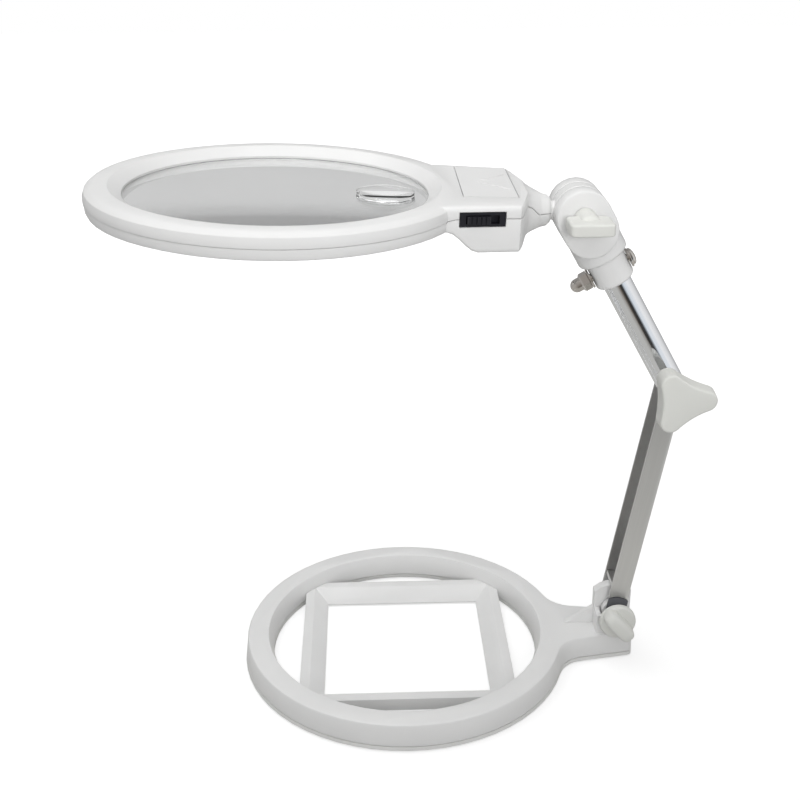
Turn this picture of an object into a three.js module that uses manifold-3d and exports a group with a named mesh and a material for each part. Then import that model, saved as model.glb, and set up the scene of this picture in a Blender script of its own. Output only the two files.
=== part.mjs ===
// Stand magnifier: a folding bench magnifier with a lit lens head on a two-piece arm.
// Millimetres, +Z up, +X towards the hinge side, +Y away from the viewer.
// The origin is on the table under the base hinge.
import * as THREE from 'three';
import Module from 'manifold-3d';
import { mergeVertices } from 'three/addons/utils/BufferGeometryUtils.js';

const wasm = await Module();
wasm.setup();

// Angles
const DEGREE = Math.PI / 180;
const QUARTER = Math.PI / 2;

// Clearances and tolerances shared by every fit
const SEAT_GAP = 0.3;
const RUN_GAP = 0.5;
const OVERRUN = 1;
const WELD = 0.0001;

// Facet counts
const RING_SIDES = 60;
const DISC_SIDES = 24;
const ROD_SIDES = 12;
const HEX_SIDES = 6;
const ROUND_STEPS = 3;
const FILLET_STEPS = 5;
const RING_ARC_STEPS = 27;
const CORNER_STEPS = 3;

// Base ring
const BASE_BORE_RADIUS = 65.2;
const BASE_RING_WIDTH = 12.3;
const BASE_TOP_RADIUS = BASE_BORE_RADIUS + BASE_RING_WIDTH;
const TAIL_LENGTH = 25.6;
const RING_TO_HINGE = BASE_TOP_RADIUS + TAIL_LENGTH;
const BASE_HEIGHT = 13.1;
const BASE_DRAFT = 1.5;
const BASE_EDGE_ROUND = 1.2;
const BASE_WALL = 2;
const BASE_FUNNEL_WIDTH = 2.2;
const BASE_FUNNEL_DEPTH = 6.1;
const BASE_CORE_WALL = 3.6;
const BASE_BOSS_RADIUS = 2.6;
const BASE_PILOT_RADIUS = 0.9;
const BASE_BOSS_COUNT = 4;

// Feet and bottom plate
const FOOT_STAND = 0.6;
const FOOT_THICKNESS = 1.4;
const TAIL_FOOT_RADIUS = 6;
const RING_FOOT_RADIUS = 4.6;
const RING_FOOT_COUNT = 3;
const PLATE_THICKNESS = 1.8;
const PLATE_RIB_WIDTH = 1.2;
const PLATE_RIB_HEIGHT = 2;
const PLATE_SCREW_RADIUS = 1.5;

// Tail that carries the base hinge
const TAIL_ROOT_OFFSET = 16.1;
const TAIL_ROOT_HALF = 14.4;
const TAIL_END = 9.2;
const TAIL_END_HALF = 10.2;
const TAIL_FILLET = 15;
const TAIL_CORNER = 3;
const TAIL_RIB_THICKNESS = 1.6;
const TAIL_RIB_SPACING = 9;
const TAIL_RIB_COUNT = 3;

// Base hinge
const PIVOT_HEIGHT = 22.4;
const EAR_RADIUS = 5.2;
const EAR_FOOT_HALF = 8;
const EAR_THICKNESS = 2.4;
const LUG_RADIUS = 13;
const LUG_LEFT = 9.2;
const LUG_RIGHT = 8.6;
const LUG_THICKNESS = 5;
const WALL_THICKNESS = 2.3;
const WALL_RISE = 0.5;
const GUSSET_LENGTH = 14.3;
const GUSSET_THICKNESS = 2.5;
const SIDE_GUSSET_LENGTH = 4.9;
const SIDE_GUSSET_HEIGHT = 2.9;
const SIDE_GUSSET_THICKNESS = 1.6;
const HINGE_BOLT_RADIUS = 2.5;
const HINGE_BOLT_HEAD_RADIUS = 4.6;
const HINGE_BOLT_HEAD_HEIGHT = 2.4;
const HINGE_BUSH_RADIUS = 6;

// Copy frame in the base ring
const INSERT_INSET = 14.45;
const INSERT_HALF = BASE_BORE_RADIUS - INSERT_INSET;
const INSERT_HEIGHT = 7;
const INSERT_LIFT = 0.8;
const INSERT_STRIP = 4.7;
const INSERT_SIDE_BORDER = 11.55;
const INSERT_END_BORDER = 12.55;
const INSERT_OPEN_HALF_X = INSERT_HALF - INSERT_SIDE_BORDER;
const INSERT_OPEN_HALF_Y = INSERT_HALF - INSERT_END_BORDER;
const INSERT_LIP = 1.3;
const INSERT_WALL = 2;
const INSERT_SLOPE_WALL = 2.4;

// Lower arm, a steel channel
const LOWER_LENGTH = 120.1;
const LOWER_LEAN = 9.41;
const CHANNEL_WIDTH = 16;
const CHANNEL_DEPTH = 9.8;
const CHANNEL_SHEET = 1;
const CHANNEL_BEND = 1.4;
const CHANNEL_FOOT_START = 13.7;
const CHANNEL_ELBOW_START = 10;
const CHANNEL_PAD_RADIUS = 9.3;
const CHANNEL_PAD_DEPTH = 0.5;
const CHANNEL_PAD_THICKNESS = 0.4;
const PLUG_START = 13.7;
const PLUG_LENGTH = 1.8;
const PLUG_SETBACK = 0.5;

// Upper arm, a chrome tube
const UPPER_LEAN = -29.75;
const UPPER_LENGTH = 93.6;
const TUBE_RADIUS = 6.35;
const TUBE_SHEET = 1;
const TUBE_END = 6.2;
const TUBE_INSERTION = 9;
const END_PLUG_CAP = 1.2;

// Elbow
const ELBOW_BOLT_RADIUS = 2.8;
const ELBOW_BOLT_HEAD_RADIUS = 5.4;
const ELBOW_BOLT_HEAD_HEIGHT = 2.8;
const ELBOW_WASHER_RADIUS = 6.2;
const ELBOW_WASHER_THICKNESS = 1;
const ELBOW_KNOB_TIP = 17.3;
const ELBOW_KNOB_LOBE = 4.6;
const ELBOW_KNOB_WAIST = 9.4;
const ELBOW_KNOB_THICKNESS = 8;
const ELBOW_KNOB_ROUND = 1.6;
const ELBOW_KNOB_BOSS_RADIUS = 7;
const ELBOW_KNOB_BOSS_LENGTH = 2.4;
const ELBOW_KNOB_TURN = 3.5;
const LOBES = 3;

// Clamp block on top of the tube
const BLOCK_RADIUS = 11.8;
const BLOCK_HALF_WIDTH = 14;
const BLOCK_DROP = 7;
const BLOCK_ROUND = 1.1;
const LEG_RADIUS = 11.4;
const LEG_START = 23.6;
const LEG_ROUND = 1.6;
const COLLAR_RADIUS = 8.8;
const COLLAR_LENGTH = 12.4;
const COLLAR_ROUND = 0.8;
const SOCKET_HALF_WIDTH = 4.8;
const HEAD_BOLT_RADIUS = 3;
const HEAD_BOLT_HEAD_RADIUS = 5.6;
const HEAD_BOLT_HEAD_HEIGHT = 2.6;

// Cross bolt through the collar
const CROSS_BOLT_DROP = 29.6;
const CROSS_BOLT_RADIUS = 1.9;
const CROSS_HEAD_RADIUS = 3.8;
const CROSS_HEAD_HEIGHT = 1.8;
const CROSS_WASHER_RADIUS = 4.6;
const CROSS_WASHER_THICKNESS = 0.9;
const ACORN_CORNER_RADIUS = 4.3;
const ACORN_HEX_HEIGHT = 3.8;
const ACORN_DOME_RADIUS = 2.85;
const ACORN_DOME_LENGTH = 4.8;

// Wing knobs
const WING_HUB_RADIUS = 4.8;
const WING_HUB_LENGTH = 14.1;
const WING_HUB_DOME = 3;
const WING_SPAN = 17.6;
const WING_LENGTH = 16;
const WING_SETBACK = 4.5;
const WING_THICKNESS = 3.6;
const WING_CORNER = 3;
const WING_ROUND = 1;
const BASE_KNOB_NECK_RADIUS = 5;
const BASE_KNOB_NECK_LENGTH = 2.6;
const BASE_KNOB_FLANGE_RADIUS = 8.8;
const BASE_KNOB_FLANGE_THICKNESS = 2.2;
const BASE_KNOB_BLADE_SPAN = 17;
const BASE_KNOB_BLADE_HEIGHT = 8;
const BASE_KNOB_BLADE_THICKNESS = 5.4;
const BASE_KNOB_TURN = 50;
const KNOB_BORE_SHARE = 0.6;
const BOLT_CHAMFER_SHARE = 0.5;

// Lenses
const LENS_RADIUS = 65.6;
const LENS_EDGE = 2.4;
const LENS_BULGE = 1.45;
const INSERT_LENS_RADIUS = 11.7;
const INSERT_LENS_MARGIN = 7.9;
const INSERT_LENS_OFFSET = LENS_RADIUS - INSERT_LENS_MARGIN - INSERT_LENS_RADIUS;
const INSERT_LENS_EDGE = 5.2;
const INSERT_LENS_BULGE = 1.6;
const LENS_STEPS = 3;

// Lens head, measured from the lens centre along the handle and down from the top face
const HEAD_TILT = 1.98;
const HEAD_ROLL = 1.01;
const HEAD_RISE = 10.4;
const HEAD_THICKNESS = 11.2;
const HEAD_PARTING = 6.2;
const HEAD_ROUND = 2.2;
const HEAD_WALL = 2;
const LENS_LAP = 1.2;
const HEAD_BORE_RADIUS = LENS_RADIUS - LENS_LAP;
const HEAD_SLOPE_WIDTH = 5.4;
const HEAD_SLOPE_DEPTH = 3.8;
const HEAD_FLAT_RADIUS = HEAD_BORE_RADIUS + HEAD_SLOPE_WIDTH;
const HEAD_RIM_WIDTH = 10.2;
const HEAD_RADIUS = HEAD_FLAT_RADIUS + HEAD_RIM_WIDTH;
const HEAD_SHOULDER_WIDTH = 4.5;
const HEAD_SHOULDER_DROP = 3.8;
const HEAD_LOWER_INSET = 0.5;

// Handle
const HANDLE_OVERLAP = 2.4;
const HANDLE_START = HEAD_BORE_RADIUS - HANDLE_OVERLAP;
const HANDLE_LENGTH = 19.7;
const HANDLE_REAR = HEAD_RADIUS + HANDLE_LENGTH;
const HANDLE_HALF = 38.4;
const HANDLE_TAPER = 3.9;
const HANDLE_REAR_HALF = HANDLE_HALF - HANDLE_TAPER;
const HANDLE_TAPER_LENGTH = 27.7;
const HANDLE_TAPER_START = HANDLE_REAR - HANDLE_TAPER_LENGTH;
const HANDLE_DEPTH = 10.9;
const HANDLE_PARTING = 5.1;
const HANDLE_ROOF = 3;
const BELLY_DEPTH = 19.4;
const BELLY_SETBACK = 4.4;
const BELLY_START = LENS_RADIUS + BELLY_SETBACK;
const BELLY_RUN = 13;
const BELLY_STEPS = 5;
const SHOULDER_LENGTH = 5.3;
const SHOULDER = HANDLE_REAR + SHOULDER_LENGTH;
const SHOULDER_HALF = 15.4;
const SHOULDER_DEPTH = 18.6;
const NECK_LENGTH = 12.3;
const NECK_GAP = 12.3;
const NECK_TIP_RADIUS = 7.4;
const NECK_DOME = 4.6;
const HEAD_REACH = SHOULDER + NECK_LENGTH + NECK_GAP;
const CORNER_WIDTH_SHARE = 0.98;
const CORNER_HEIGHT_SHARE = 0.49;
const INNER_ROUND_SHARE = 0.25;

// Head stud in the neck
const STUD_EYE_ROUND = 1;
const STUD_RADIUS = 4.2;
const STUD_FLANGE_RADIUS = 6;
const STUD_FLANGE_OFFSET = 19.5;
const STUD_FLANGE_THICKNESS = 2;
const STUD_LENGTH = 24.5;

// Battery bay and cover
const COVER_OVERHANG = 0.5;
const COVER_LENGTH = 22.6;
const COVER_START = HANDLE_REAR + COVER_OVERHANG - COVER_LENGTH;
const COVER_NEAR_MARGIN = 14.2;
const COVER_FAR_MARGIN = 1.7;
const COVER_NEAR = HANDLE_REAR_HALF - COVER_NEAR_MARGIN;
const COVER_FAR = HANDLE_REAR_HALF - COVER_FAR_MARGIN;
const COVER_THICKNESS = 1.3;
const COVER_LEDGE = 1.8;
const BAY_SETBACK = 0.5;
const BAY_REAR = HANDLE_REAR - BAY_SETBACK;
const BATTERY_RADIUS = 5.15;
const BATTERY_ROOM = 8.6;
const BATTERY_LENGTH = COVER_NEAR + COVER_FAR - BATTERY_ROOM;
const BATTERY_NUB_RADIUS = 1.9;
const BATTERY_NUB_LENGTH = 0.8;
const BATTERY_COUNT = 2;
const CONTACT_THICKNESS = 0.6;
const CONTACT_HEIGHT = 9;
const CONTACT_RIB = 1.6;

// Switch on the near wall
const SWITCH_SETBACK = 6.2;
const SWITCH_LENGTH = 18.7;
const SWITCH_START = HANDLE_REAR - SWITCH_SETBACK - SWITCH_LENGTH;
const SWITCH_DROP = 2.4;
const SWITCH_HEIGHT = 5.6;
const SWITCH_PLATE = 1.2;
const SWITCH_PROUD = 0.2;
const SWITCH_BODY_LENGTH = 15.6;
const SWITCH_BODY_HEIGHT = 4.6;
const SWITCH_BODY_DEPTH = 6;
const SLIDER_LENGTH = 9.6;
const SLIDER_HEIGHT = 3;
const SLIDER_STAND = 1.4;
const SLIDER_TRAVEL = 3.5;
const SLIDER_FOOT = 2.4;
const SLIDER_TEETH = 5;
const SLIDER_TOOTH = 0.5;
const SLIDER_RISE_SHARE = 0.25;

// Lamps under the ring beside the handle
const LED_RADIUS = 2.3;
const LED_INSET = 5.4;
const LED_OFFSET = LENS_RADIUS + LED_INSET;
const LED_SPREAD = 11;
const LED_PROUD = 0.9;
const BOARD_WIDTH = 4;
const BOARD_LENGTH = 30;
const BOARD_THICKNESS = 1;

// Small helpers

function compact(positions, faces) {
  const geometry = new THREE.BufferGeometry();
  geometry.setAttribute('position', new THREE.Float32BufferAttribute(positions, 3));
  geometry.setIndex(faces);
  return geometry;
}

function closed(geometry) {
  const bare = geometry.clone();
  bare.deleteAttribute('normal');
  bare.deleteAttribute('uv');
  const welded = mergeVertices(bare, WELD);
  const index = welded.index.array;
  const faces = [];
  for (let i = 0; i < index.length; i += 3) {
    const [a, b, c] = [index[i], index[i + 1], index[i + 2]];
    if (a !== b && b !== c && c !== a) faces.push(a, b, c);
  }
  return facedOut(compact(Array.from(welded.attributes.position.array), faces));
}

function facedOut(geometry) {
  const position = geometry.attributes.position;
  const index = geometry.index.array;
  const [a, b, c] = [new THREE.Vector3(), new THREE.Vector3(), new THREE.Vector3()];
  let volume = 0;
  for (let i = 0; i < index.length; i += 3) {
    a.fromBufferAttribute(position, index[i]);
    b.fromBufferAttribute(position, index[i + 1]);
    c.fromBufferAttribute(position, index[i + 2]);
    volume += a.dot(b.cross(c));
  }
  if (volume > 0) return geometry;
  const turned = Array.from(index);
  for (let i = 0; i < turned.length; i += 3) {
    [turned[i + 1], turned[i + 2]] = [turned[i + 2], turned[i + 1]];
  }
  geometry.setIndex(turned);
  return geometry;
}

function solid(shape) {
  if (!shape.isBufferGeometry) return shape;
  const vertProperties = new Float32Array(shape.attributes.position.array);
  const triVerts = new Uint32Array(shape.index.array);
  return new wasm.Manifold(new wasm.Mesh({ numProp: 3, vertProperties, triVerts }));
}

function toGeometry(shape) {
  if (shape.isBufferGeometry) return shape;
  const mesh = shape.getMesh();
  return compact(Array.from(mesh.vertProperties), Array.from(mesh.triVerts));
}

function join(first, ...others) {
  return others.reduce((whole, other) => whole.add(solid(other)), solid(first));
}

function cut(first, ...tools) {
  return tools.reduce((rest, tool) => rest.subtract(solid(tool)), solid(first));
}

function common(first, ...others) {
  return others.reduce((whole, other) => whole.intersect(solid(other)), solid(first));
}

// Points on part of an ellipse from one angle to another, both in degrees
function oval(x, y, wide, tall, from, to, steps) {
  const points = [];
  for (let i = 0; i <= steps; i += 1) {
    const angle = (from + (to - from) * i / steps) * DEGREE;
    points.push(new THREE.Vector2(x + wide * Math.cos(angle), y + tall * Math.sin(angle)));
  }
  return points;
}

function arc(x, y, radius, from, to, steps) {
  return oval(x, y, radius, radius, from, to, steps);
}

function at(x, y) {
  return new THREE.Vector2(x, y);
}

// A closed profile of radius and height, turned round Z
function revolve(profile, sides) {
  const points = [...profile, profile[0]];
  return closed(new THREE.LatheGeometry(points, sides).rotateX(QUARTER));
}

// An outline in X and Y raised from one height to another
function prism(outline, low, high) {
  const shape = new THREE.Shape(outline);
  const geometry = new THREE.ExtrudeGeometry(shape, { depth: high - low, bevelEnabled: false });
  return closed(geometry.translate(0, 0, low));
}

// The same with rounded rims
function softPrism(outline, low, high, round) {
  const shape = new THREE.Shape(outline);
  const geometry = new THREE.ExtrudeGeometry(shape, {
    depth: high - low - 2 * round,
    bevelEnabled: true,
    bevelThickness: round,
    bevelSize: round,
    bevelOffset: -round,
    bevelSegments: 2,
  });
  return closed(geometry.translate(0, 0, low + round));
}

// A skin through rings of points that all have the same count
function loft(rings) {
  const count = rings[0].length;
  const positions = rings.flat().flatMap((point) => point.toArray());
  const faces = [];
  for (let level = 0; level + 1 < rings.length; level += 1) {
    for (let i = 0; i < count; i += 1) {
      const a = level * count + i;
      const b = level * count + (i + 1) % count;
      faces.push(a, b, b + count, a, b + count, a + count);
    }
  }
  faces.push(...lid(rings[0], 0, true));
  faces.push(...lid(rings.at(-1), (rings.length - 1) * count, false));
  return closed(compact(positions, faces));
}

// The flat end of a loft, split into triangles
function lid(ring, start, reversed) {
  const box = new THREE.Box3().setFromPoints(ring);
  const size = box.getSize(new THREE.Vector3()).toArray();
  const thin = size.indexOf(Math.min(...size));
  const flat = ring.map((point) => at(...point.toArray().filter((_, axis) => axis !== thin)));
  const turn = Math.sign(THREE.ShapeUtils.area(flat));
  return THREE.ShapeUtils.triangulateShape(flat, []).flatMap((face) => {
    const same = Math.sign(THREE.ShapeUtils.area(face.map((i) => flat[i]))) === turn;
    const [a, b, c] = face.map((i) => i + start);
    return same === reversed ? [a, c, b] : [a, b, c];
  });
}

function level(outline, height) {
  return outline.map((point) => new THREE.Vector3(point.x, point.y, height));
}

function block(low, high) {
  const size = high.map((value, axis) => value - low[axis]);
  const middle = high.map((value, axis) => (value + low[axis]) / 2);
  return closed(new THREE.BoxGeometry(...size).translate(...middle));
}

function rod(radius, low, high, sides = ROD_SIDES) {
  return revolve([at(0, low), at(radius, low), at(radius, high), at(0, high)], sides);
}

// Turn a shape built along Z so that it points away from the viewer, along +Y
function alongY(geometry) {
  return geometry.clone().rotateX(-QUARTER);
}

// Turn a shape built along Z so that it points along +X
function alongX(geometry) {
  return geometry.clone().rotateY(QUARTER);
}

// An outline in X and Z given a thickness along Y
function plate(outline, near, far) {
  const flipped = outline.map((point) => at(point.x, -point.y));
  return alongY(prism(flipped, near, far));
}

function softPlate(outline, near, far, round) {
  const flipped = outline.map((point) => at(point.x, -point.y));
  return alongY(softPrism(flipped, near, far, round));
}

function material(name, color, roughness, metalness) {
  const look = new THREE.MeshStandardMaterial({ color, roughness, metalness, flatShading: true });
  look.name = name;
  return look;
}

// Materials
const WHITE = material('white_plastic', 0xf2f2f0, 0.35, 0);
const IVORY = material('ivory_plastic', 0xe9e8e2, 0.45, 0);
const GREY = material('grey_plastic', 0x8a8a86, 0.6, 0);
const BLACK = material('black_plastic', 0x141414, 0.5, 0);
const RUBBER = material('black_rubber', 0x1c1c1c, 0.9, 0);
const STEEL = material('brushed_steel', 0x9c9d98, 0.42, 1);
const CHROME = material('chrome', 0xd8dadc, 0.12, 1);
const CELL = material('cell_wrap', 0x3c4248, 0.4, 0.4);
const LAMP = material('lamp_epoxy', 0xf6f2d8, 0.2, 0);
const BOARD = material('board_green', 0x2d5a3a, 0.6, 0);
const CLEAR = material('clear_acrylic', 0xf4f8f8, 0.05, 0);
CLEAR.transparent = true;
CLEAR.opacity = 0.3;

function add(parent, name, shape, look) {
  const mesh = new THREE.Mesh(toGeometry(shape), look);
  mesh.name = name;
  parent.add(mesh);
  return mesh;
}

// Base

// Heights above the table
const plateLow = FOOT_STAND;
const plateHigh = plateLow + PLATE_THICKNESS;
const shellLow = plateHigh + SEAT_GAP;
const shellRoof = BASE_HEIGHT - BASE_WALL;
const earInner = CHANNEL_WIDTH / 2 + RUN_GAP;
const earOuter = earInner + EAR_THICKNESS;

// Growth of the outer wall below the top, from the draft
function draftAt(height) {
  return BASE_DRAFT * (BASE_HEIGHT - height) / BASE_HEIGHT;
}

// Half of the plan outline at a height, drawn in by an inset:
// from the middle of the tail's end round to the far side of the ring
function halfBaseOutline(height, inset) {
  const growth = draftAt(height) - inset;
  const ringRadius = BASE_TOP_RADIUS + growth;
  const root = at(-TAIL_ROOT_OFFSET, TAIL_ROOT_HALF + growth);
  const end = at(TAIL_END, TAIL_END_HALF + growth);
  const along = end.clone().sub(root).normalize();
  const outward = at(-along.y, along.x);
  const reach = outward.dot(root) + outward.x * RING_TO_HINGE + TAIL_FILLET;
  const forward = Math.sqrt((ringRadius + TAIL_FILLET) ** 2 - reach ** 2);
  const fillet = at(-RING_TO_HINGE, 0).addScaledVector(outward, reach).addScaledVector(along, forward);
  const sideAngle = Math.atan2(-outward.y, -outward.x) / DEGREE;
  const ringAngle = Math.atan2(fillet.y, fillet.x + RING_TO_HINGE) / DEGREE;
  const cornerX = TAIL_END - inset - TAIL_CORNER;
  const cornerY = (outward.dot(end) - TAIL_CORNER - outward.x * cornerX) / outward.y;
  const cornerAngle = Math.atan2(outward.y, outward.x) / DEGREE;
  return [
    ...arc(cornerX, cornerY, TAIL_CORNER, 0, cornerAngle, ROUND_STEPS),
    ...arc(fillet.x, fillet.y, TAIL_FILLET, sideAngle, ringAngle - 180, FILLET_STEPS),
    ...arc(-RING_TO_HINGE, 0, ringRadius, ringAngle, 180, RING_ARC_STEPS).slice(1),
  ];
}

function baseOutline(height, inset) {
  const half = halfBaseOutline(height, inset);
  const mirrored = half.slice(0, -1).reverse().map((point) => at(point.x, -point.y));
  return [...half, ...mirrored];
}

function roundedBase(low, high, round) {
  const rings = [level(baseOutline(low, 0), low)];
  for (let i = 0; i <= ROUND_STEPS - 1; i += 1) {
    const angle = QUARTER * i / (ROUND_STEPS - 1);
    const height = high - round + round * Math.sin(angle);
    rings.push(level(baseOutline(height, round - round * Math.cos(angle)), height));
  }
  return loft(rings);
}

function overRing(geometry) {
  return geometry.clone().translate(-RING_TO_HINGE, 0, 0);
}

function aroundRing(radius, count, startShare) {
  const places = [];
  for (let i = 0; i < count; i += 1) {
    const angle = 2 * Math.PI * (i + startShare) / count;
    places.push(at(radius * Math.cos(angle) - RING_TO_HINGE, radius * Math.sin(angle)));
  }
  return places;
}

const ringMiddle = (BASE_BORE_RADIUS + BASE_TOP_RADIUS) / 2;
const bossPlaces = aroundRing(ringMiddle, BASE_BOSS_COUNT, 1 / 2);
const footPlaces = aroundRing(ringMiddle, RING_FOOT_COUNT, 1 / 2);

// The bore of the ring, funnel-shaped at the top
function baseBore() {
  const top = BASE_BORE_RADIUS + BASE_FUNNEL_WIDTH;
  const slope = BASE_FUNNEL_WIDTH / BASE_FUNNEL_DEPTH;
  return overRing(revolve([
    at(0, -OVERRUN),
    at(BASE_BORE_RADIUS, -OVERRUN),
    at(BASE_BORE_RADIUS, BASE_HEIGHT - BASE_FUNNEL_DEPTH),
    at(top, BASE_HEIGHT),
    at(top + slope * OVERRUN, BASE_HEIGHT + OVERRUN),
    at(0, BASE_HEIGHT + OVERRUN),
  ], RING_SIDES));
}

// The hollow under the top wall, open below
function baseHollow() {
  const low = shellLow - OVERRUN;
  const hollow = loft([
    level(baseOutline(low, BASE_WALL), low),
    level(baseOutline(shellRoof, BASE_WALL), shellRoof),
  ]);
  const over = shellRoof + OVERRUN;
  const core = overRing(rod(BASE_BORE_RADIUS + BASE_CORE_WALL, low - OVERRUN, over, RING_SIDES));
  const bosses = bossPlaces.map((place) => {
    return rod(BASE_BOSS_RADIUS, low - OVERRUN, over).translate(place.x, place.y, 0);
  });
  const half = TAIL_ROOT_HALF + BASE_DRAFT;
  const ribs = [];
  for (let i = 0; i < TAIL_RIB_COUNT; i += 1) {
    const x = TAIL_END - BASE_WALL - TAIL_RIB_SPACING * (i + 1 / 2);
    ribs.push(block([x, -half, shellLow + PLATE_RIB_HEIGHT], [x + TAIL_RIB_THICKNESS, half, over]));
  }
  return cut(hollow, core, ...bosses, ...ribs);
}

// One hinge ear: a round top with slanted sides down into the tail
function ear(near, far) {
  return plate([
    at(-EAR_FOOT_HALF, shellRoof),
    at(EAR_FOOT_HALF, shellRoof),
    ...arc(0, PIVOT_HEIGHT, EAR_RADIUS, 0, 180, DISC_SIDES / 2),
  ], near, far);
}

// The lug between the flanges: straight sides and a top round the pivot
function middleLug() {
  const right = Math.acos(LUG_RIGHT / LUG_RADIUS) / DEGREE;
  const left = 180 - Math.acos(LUG_LEFT / LUG_RADIUS) / DEGREE;
  return plate([
    at(-LUG_LEFT, shellRoof),
    at(LUG_RIGHT, shellRoof),
    ...arc(0, PIVOT_HEIGHT, LUG_RADIUS, right, left, FILLET_STEPS),
  ], -LUG_THICKNESS / 2, LUG_THICKNESS / 2);
}

// A triangular rib that runs down to the left from a wall
function gusset(wall, length, top, near, far) {
  return plate([
    at(wall + OVERRUN, shellRoof),
    at(wall + OVERRUN, top),
    at(wall, top),
    at(wall - length, BASE_HEIGHT),
    at(wall - length, shellRoof),
  ], near, far);
}

function hingeMount() {
  const half = GUSSET_THICKNESS / 2;
  const wall = block(
    [-LUG_LEFT, -earOuter, shellRoof],
    [-LUG_LEFT + WALL_THICKNESS, 0, PIVOT_HEIGHT + WALL_RISE],
  );
  const sideTop = BASE_HEIGHT + SIDE_GUSSET_HEIGHT;
  return join(
    middleLug(),
    ear(earInner, earOuter),
    ear(-earOuter, -earInner),
    wall,
    gusset(-LUG_LEFT, GUSSET_LENGTH, PIVOT_HEIGHT, -half, half),
    gusset(-EAR_RADIUS, SIDE_GUSSET_LENGTH, sideTop, earOuter - SIDE_GUSSET_THICKNESS, earOuter),
  );
}

function baseFrame() {
  const shell = cut(roundedBase(shellLow, BASE_HEIGHT, BASE_EDGE_ROUND), baseHollow());
  const bolt = alongY(rod(HINGE_BOLT_RADIUS + SEAT_GAP, -earOuter - OVERRUN, earOuter + OVERRUN));
  const pilots = bossPlaces.map((place) => {
    return rod(BASE_PILOT_RADIUS, shellLow - OVERRUN, shellRoof).translate(place.x, place.y, 0);
  });
  return cut(join(shell, hingeMount()), baseBore(), bolt.translate(0, 0, PIVOT_HEIGHT), ...pilots);
}

function bottomPlate() {
  const over = plateHigh + PLATE_RIB_HEIGHT + OVERRUN;
  const bore = overRing(rod(BASE_BORE_RADIUS, plateLow - OVERRUN, over, RING_SIDES));
  const ribInner = BASE_BORE_RADIUS + BASE_CORE_WALL + SEAT_GAP;
  const rib = overRing(revolve([
    at(ribInner, plateLow + PLATE_THICKNESS / 2),
    at(ribInner + PLATE_RIB_WIDTH, plateLow + PLATE_THICKNESS / 2),
    at(ribInner + PLATE_RIB_WIDTH, plateHigh + PLATE_RIB_HEIGHT),
    at(ribInner, plateHigh + PLATE_RIB_HEIGHT),
  ], RING_SIDES));
  const skin = loft([
    level(baseOutline(plateLow, 0), plateLow),
    level(baseOutline(plateHigh, 0), plateHigh),
  ]);
  const seatTop = FOOT_THICKNESS + SEAT_GAP;
  const seats = footPlaces.map((place) => {
    return rod(RING_FOOT_RADIUS + SEAT_GAP, -OVERRUN, seatTop).translate(place.x, place.y, 0);
  });
  const tailSeat = rod(TAIL_FOOT_RADIUS + SEAT_GAP, -OVERRUN, seatTop);
  const bossClearance = BASE_BOSS_RADIUS + SEAT_GAP;
  const relief = bossPlaces.map((place) => {
    return rod(bossClearance, plateHigh, over).translate(place.x, place.y, 0);
  });
  const screws = bossPlaces.map((place) => {
    return rod(PLATE_SCREW_RADIUS, plateLow - OVERRUN, plateHigh + OVERRUN).translate(place.x, place.y, 0);
  });
  return cut(join(skin, rib), bore, tailSeat, ...seats, ...relief, ...screws);
}

// A rectangle centred on the ring
function ringRectangle(halfX, halfY) {
  return [at(-halfX, -halfY), at(halfX, -halfY), at(halfX, halfY), at(-halfX, halfY)];
}

// The square frame: a flat strip outside, a slope down to the opening, hollow below
function insertFrame() {
  const stripHalf = INSERT_HALF - INSERT_STRIP;
  const slope = (INSERT_HEIGHT - INSERT_LIP) / (stripHalf - INSERT_OPEN_HALF_X);
  const outer = prism(ringRectangle(INSERT_HALF, INSERT_HALF), INSERT_LIFT, INSERT_HEIGHT);
  const over = OVERRUN / slope;
  const inside = ringRectangle(INSERT_OPEN_HALF_X, INSERT_OPEN_HALF_Y);
  const funnel = loft([
    level(inside, INSERT_LIP),
    level(ringRectangle(stripHalf + over, stripHalf + over), INSERT_HEIGHT + OVERRUN),
  ]);
  const opening = prism(inside, -OVERRUN, INSERT_LIP + OVERRUN);
  const roof = INSERT_HEIGHT - INSERT_WALL;
  const trough = prism(ringRectangle(INSERT_HALF - INSERT_WALL, INSERT_HALF - INSERT_WALL), -OVERRUN, roof);
  const coreFoot = ringRectangle(
    INSERT_OPEN_HALF_X + INSERT_SLOPE_WALL,
    INSERT_OPEN_HALF_Y + INSERT_SLOPE_WALL,
  );
  const coreTop = ringRectangle(stripHalf + INSERT_SLOPE_WALL, stripHalf + INSERT_SLOPE_WALL);
  const core = loft([
    level(coreFoot, -2 * OVERRUN),
    level(coreFoot, INSERT_LIP),
    level(coreTop, INSERT_HEIGHT),
  ]);
  const round = rod(BASE_BORE_RADIUS - SEAT_GAP, 0, INSERT_HEIGHT + OVERRUN, RING_SIDES);
  const body = cut(outer, cut(trough, core), funnel, opening);
  return common(body, round);
}

const model = new THREE.Group();
const base = new THREE.Group();
model.add(base);

add(base, 'base_frame', baseFrame(), WHITE);
add(base, 'base_bottom_plate', bottomPlate(), WHITE);
add(base, 'base_insert_frame', insertFrame(), WHITE).position.x = -RING_TO_HINGE;
add(base, 'foot_tail', rod(TAIL_FOOT_RADIUS, 0, FOOT_THICKNESS, DISC_SIDES), RUBBER);
footPlaces.forEach((place, i) => {
  const foot = add(base, `foot_ring_${i + 1}`, rod(RING_FOOT_RADIUS, 0, FOOT_THICKNESS), RUBBER);
  foot.position.set(place.x, place.y, 0);
});

// Lower arm

const channelHalf = CHANNEL_DEPTH / 2;
const channelSide = CHANNEL_WIDTH / 2;
const channelInner = channelSide - CHANNEL_SHEET;

// Turn a shape built along Z so that it points at the viewer, along -Y
function towardViewer(geometry) {
  return geometry.clone().rotateX(QUARTER);
}

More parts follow.
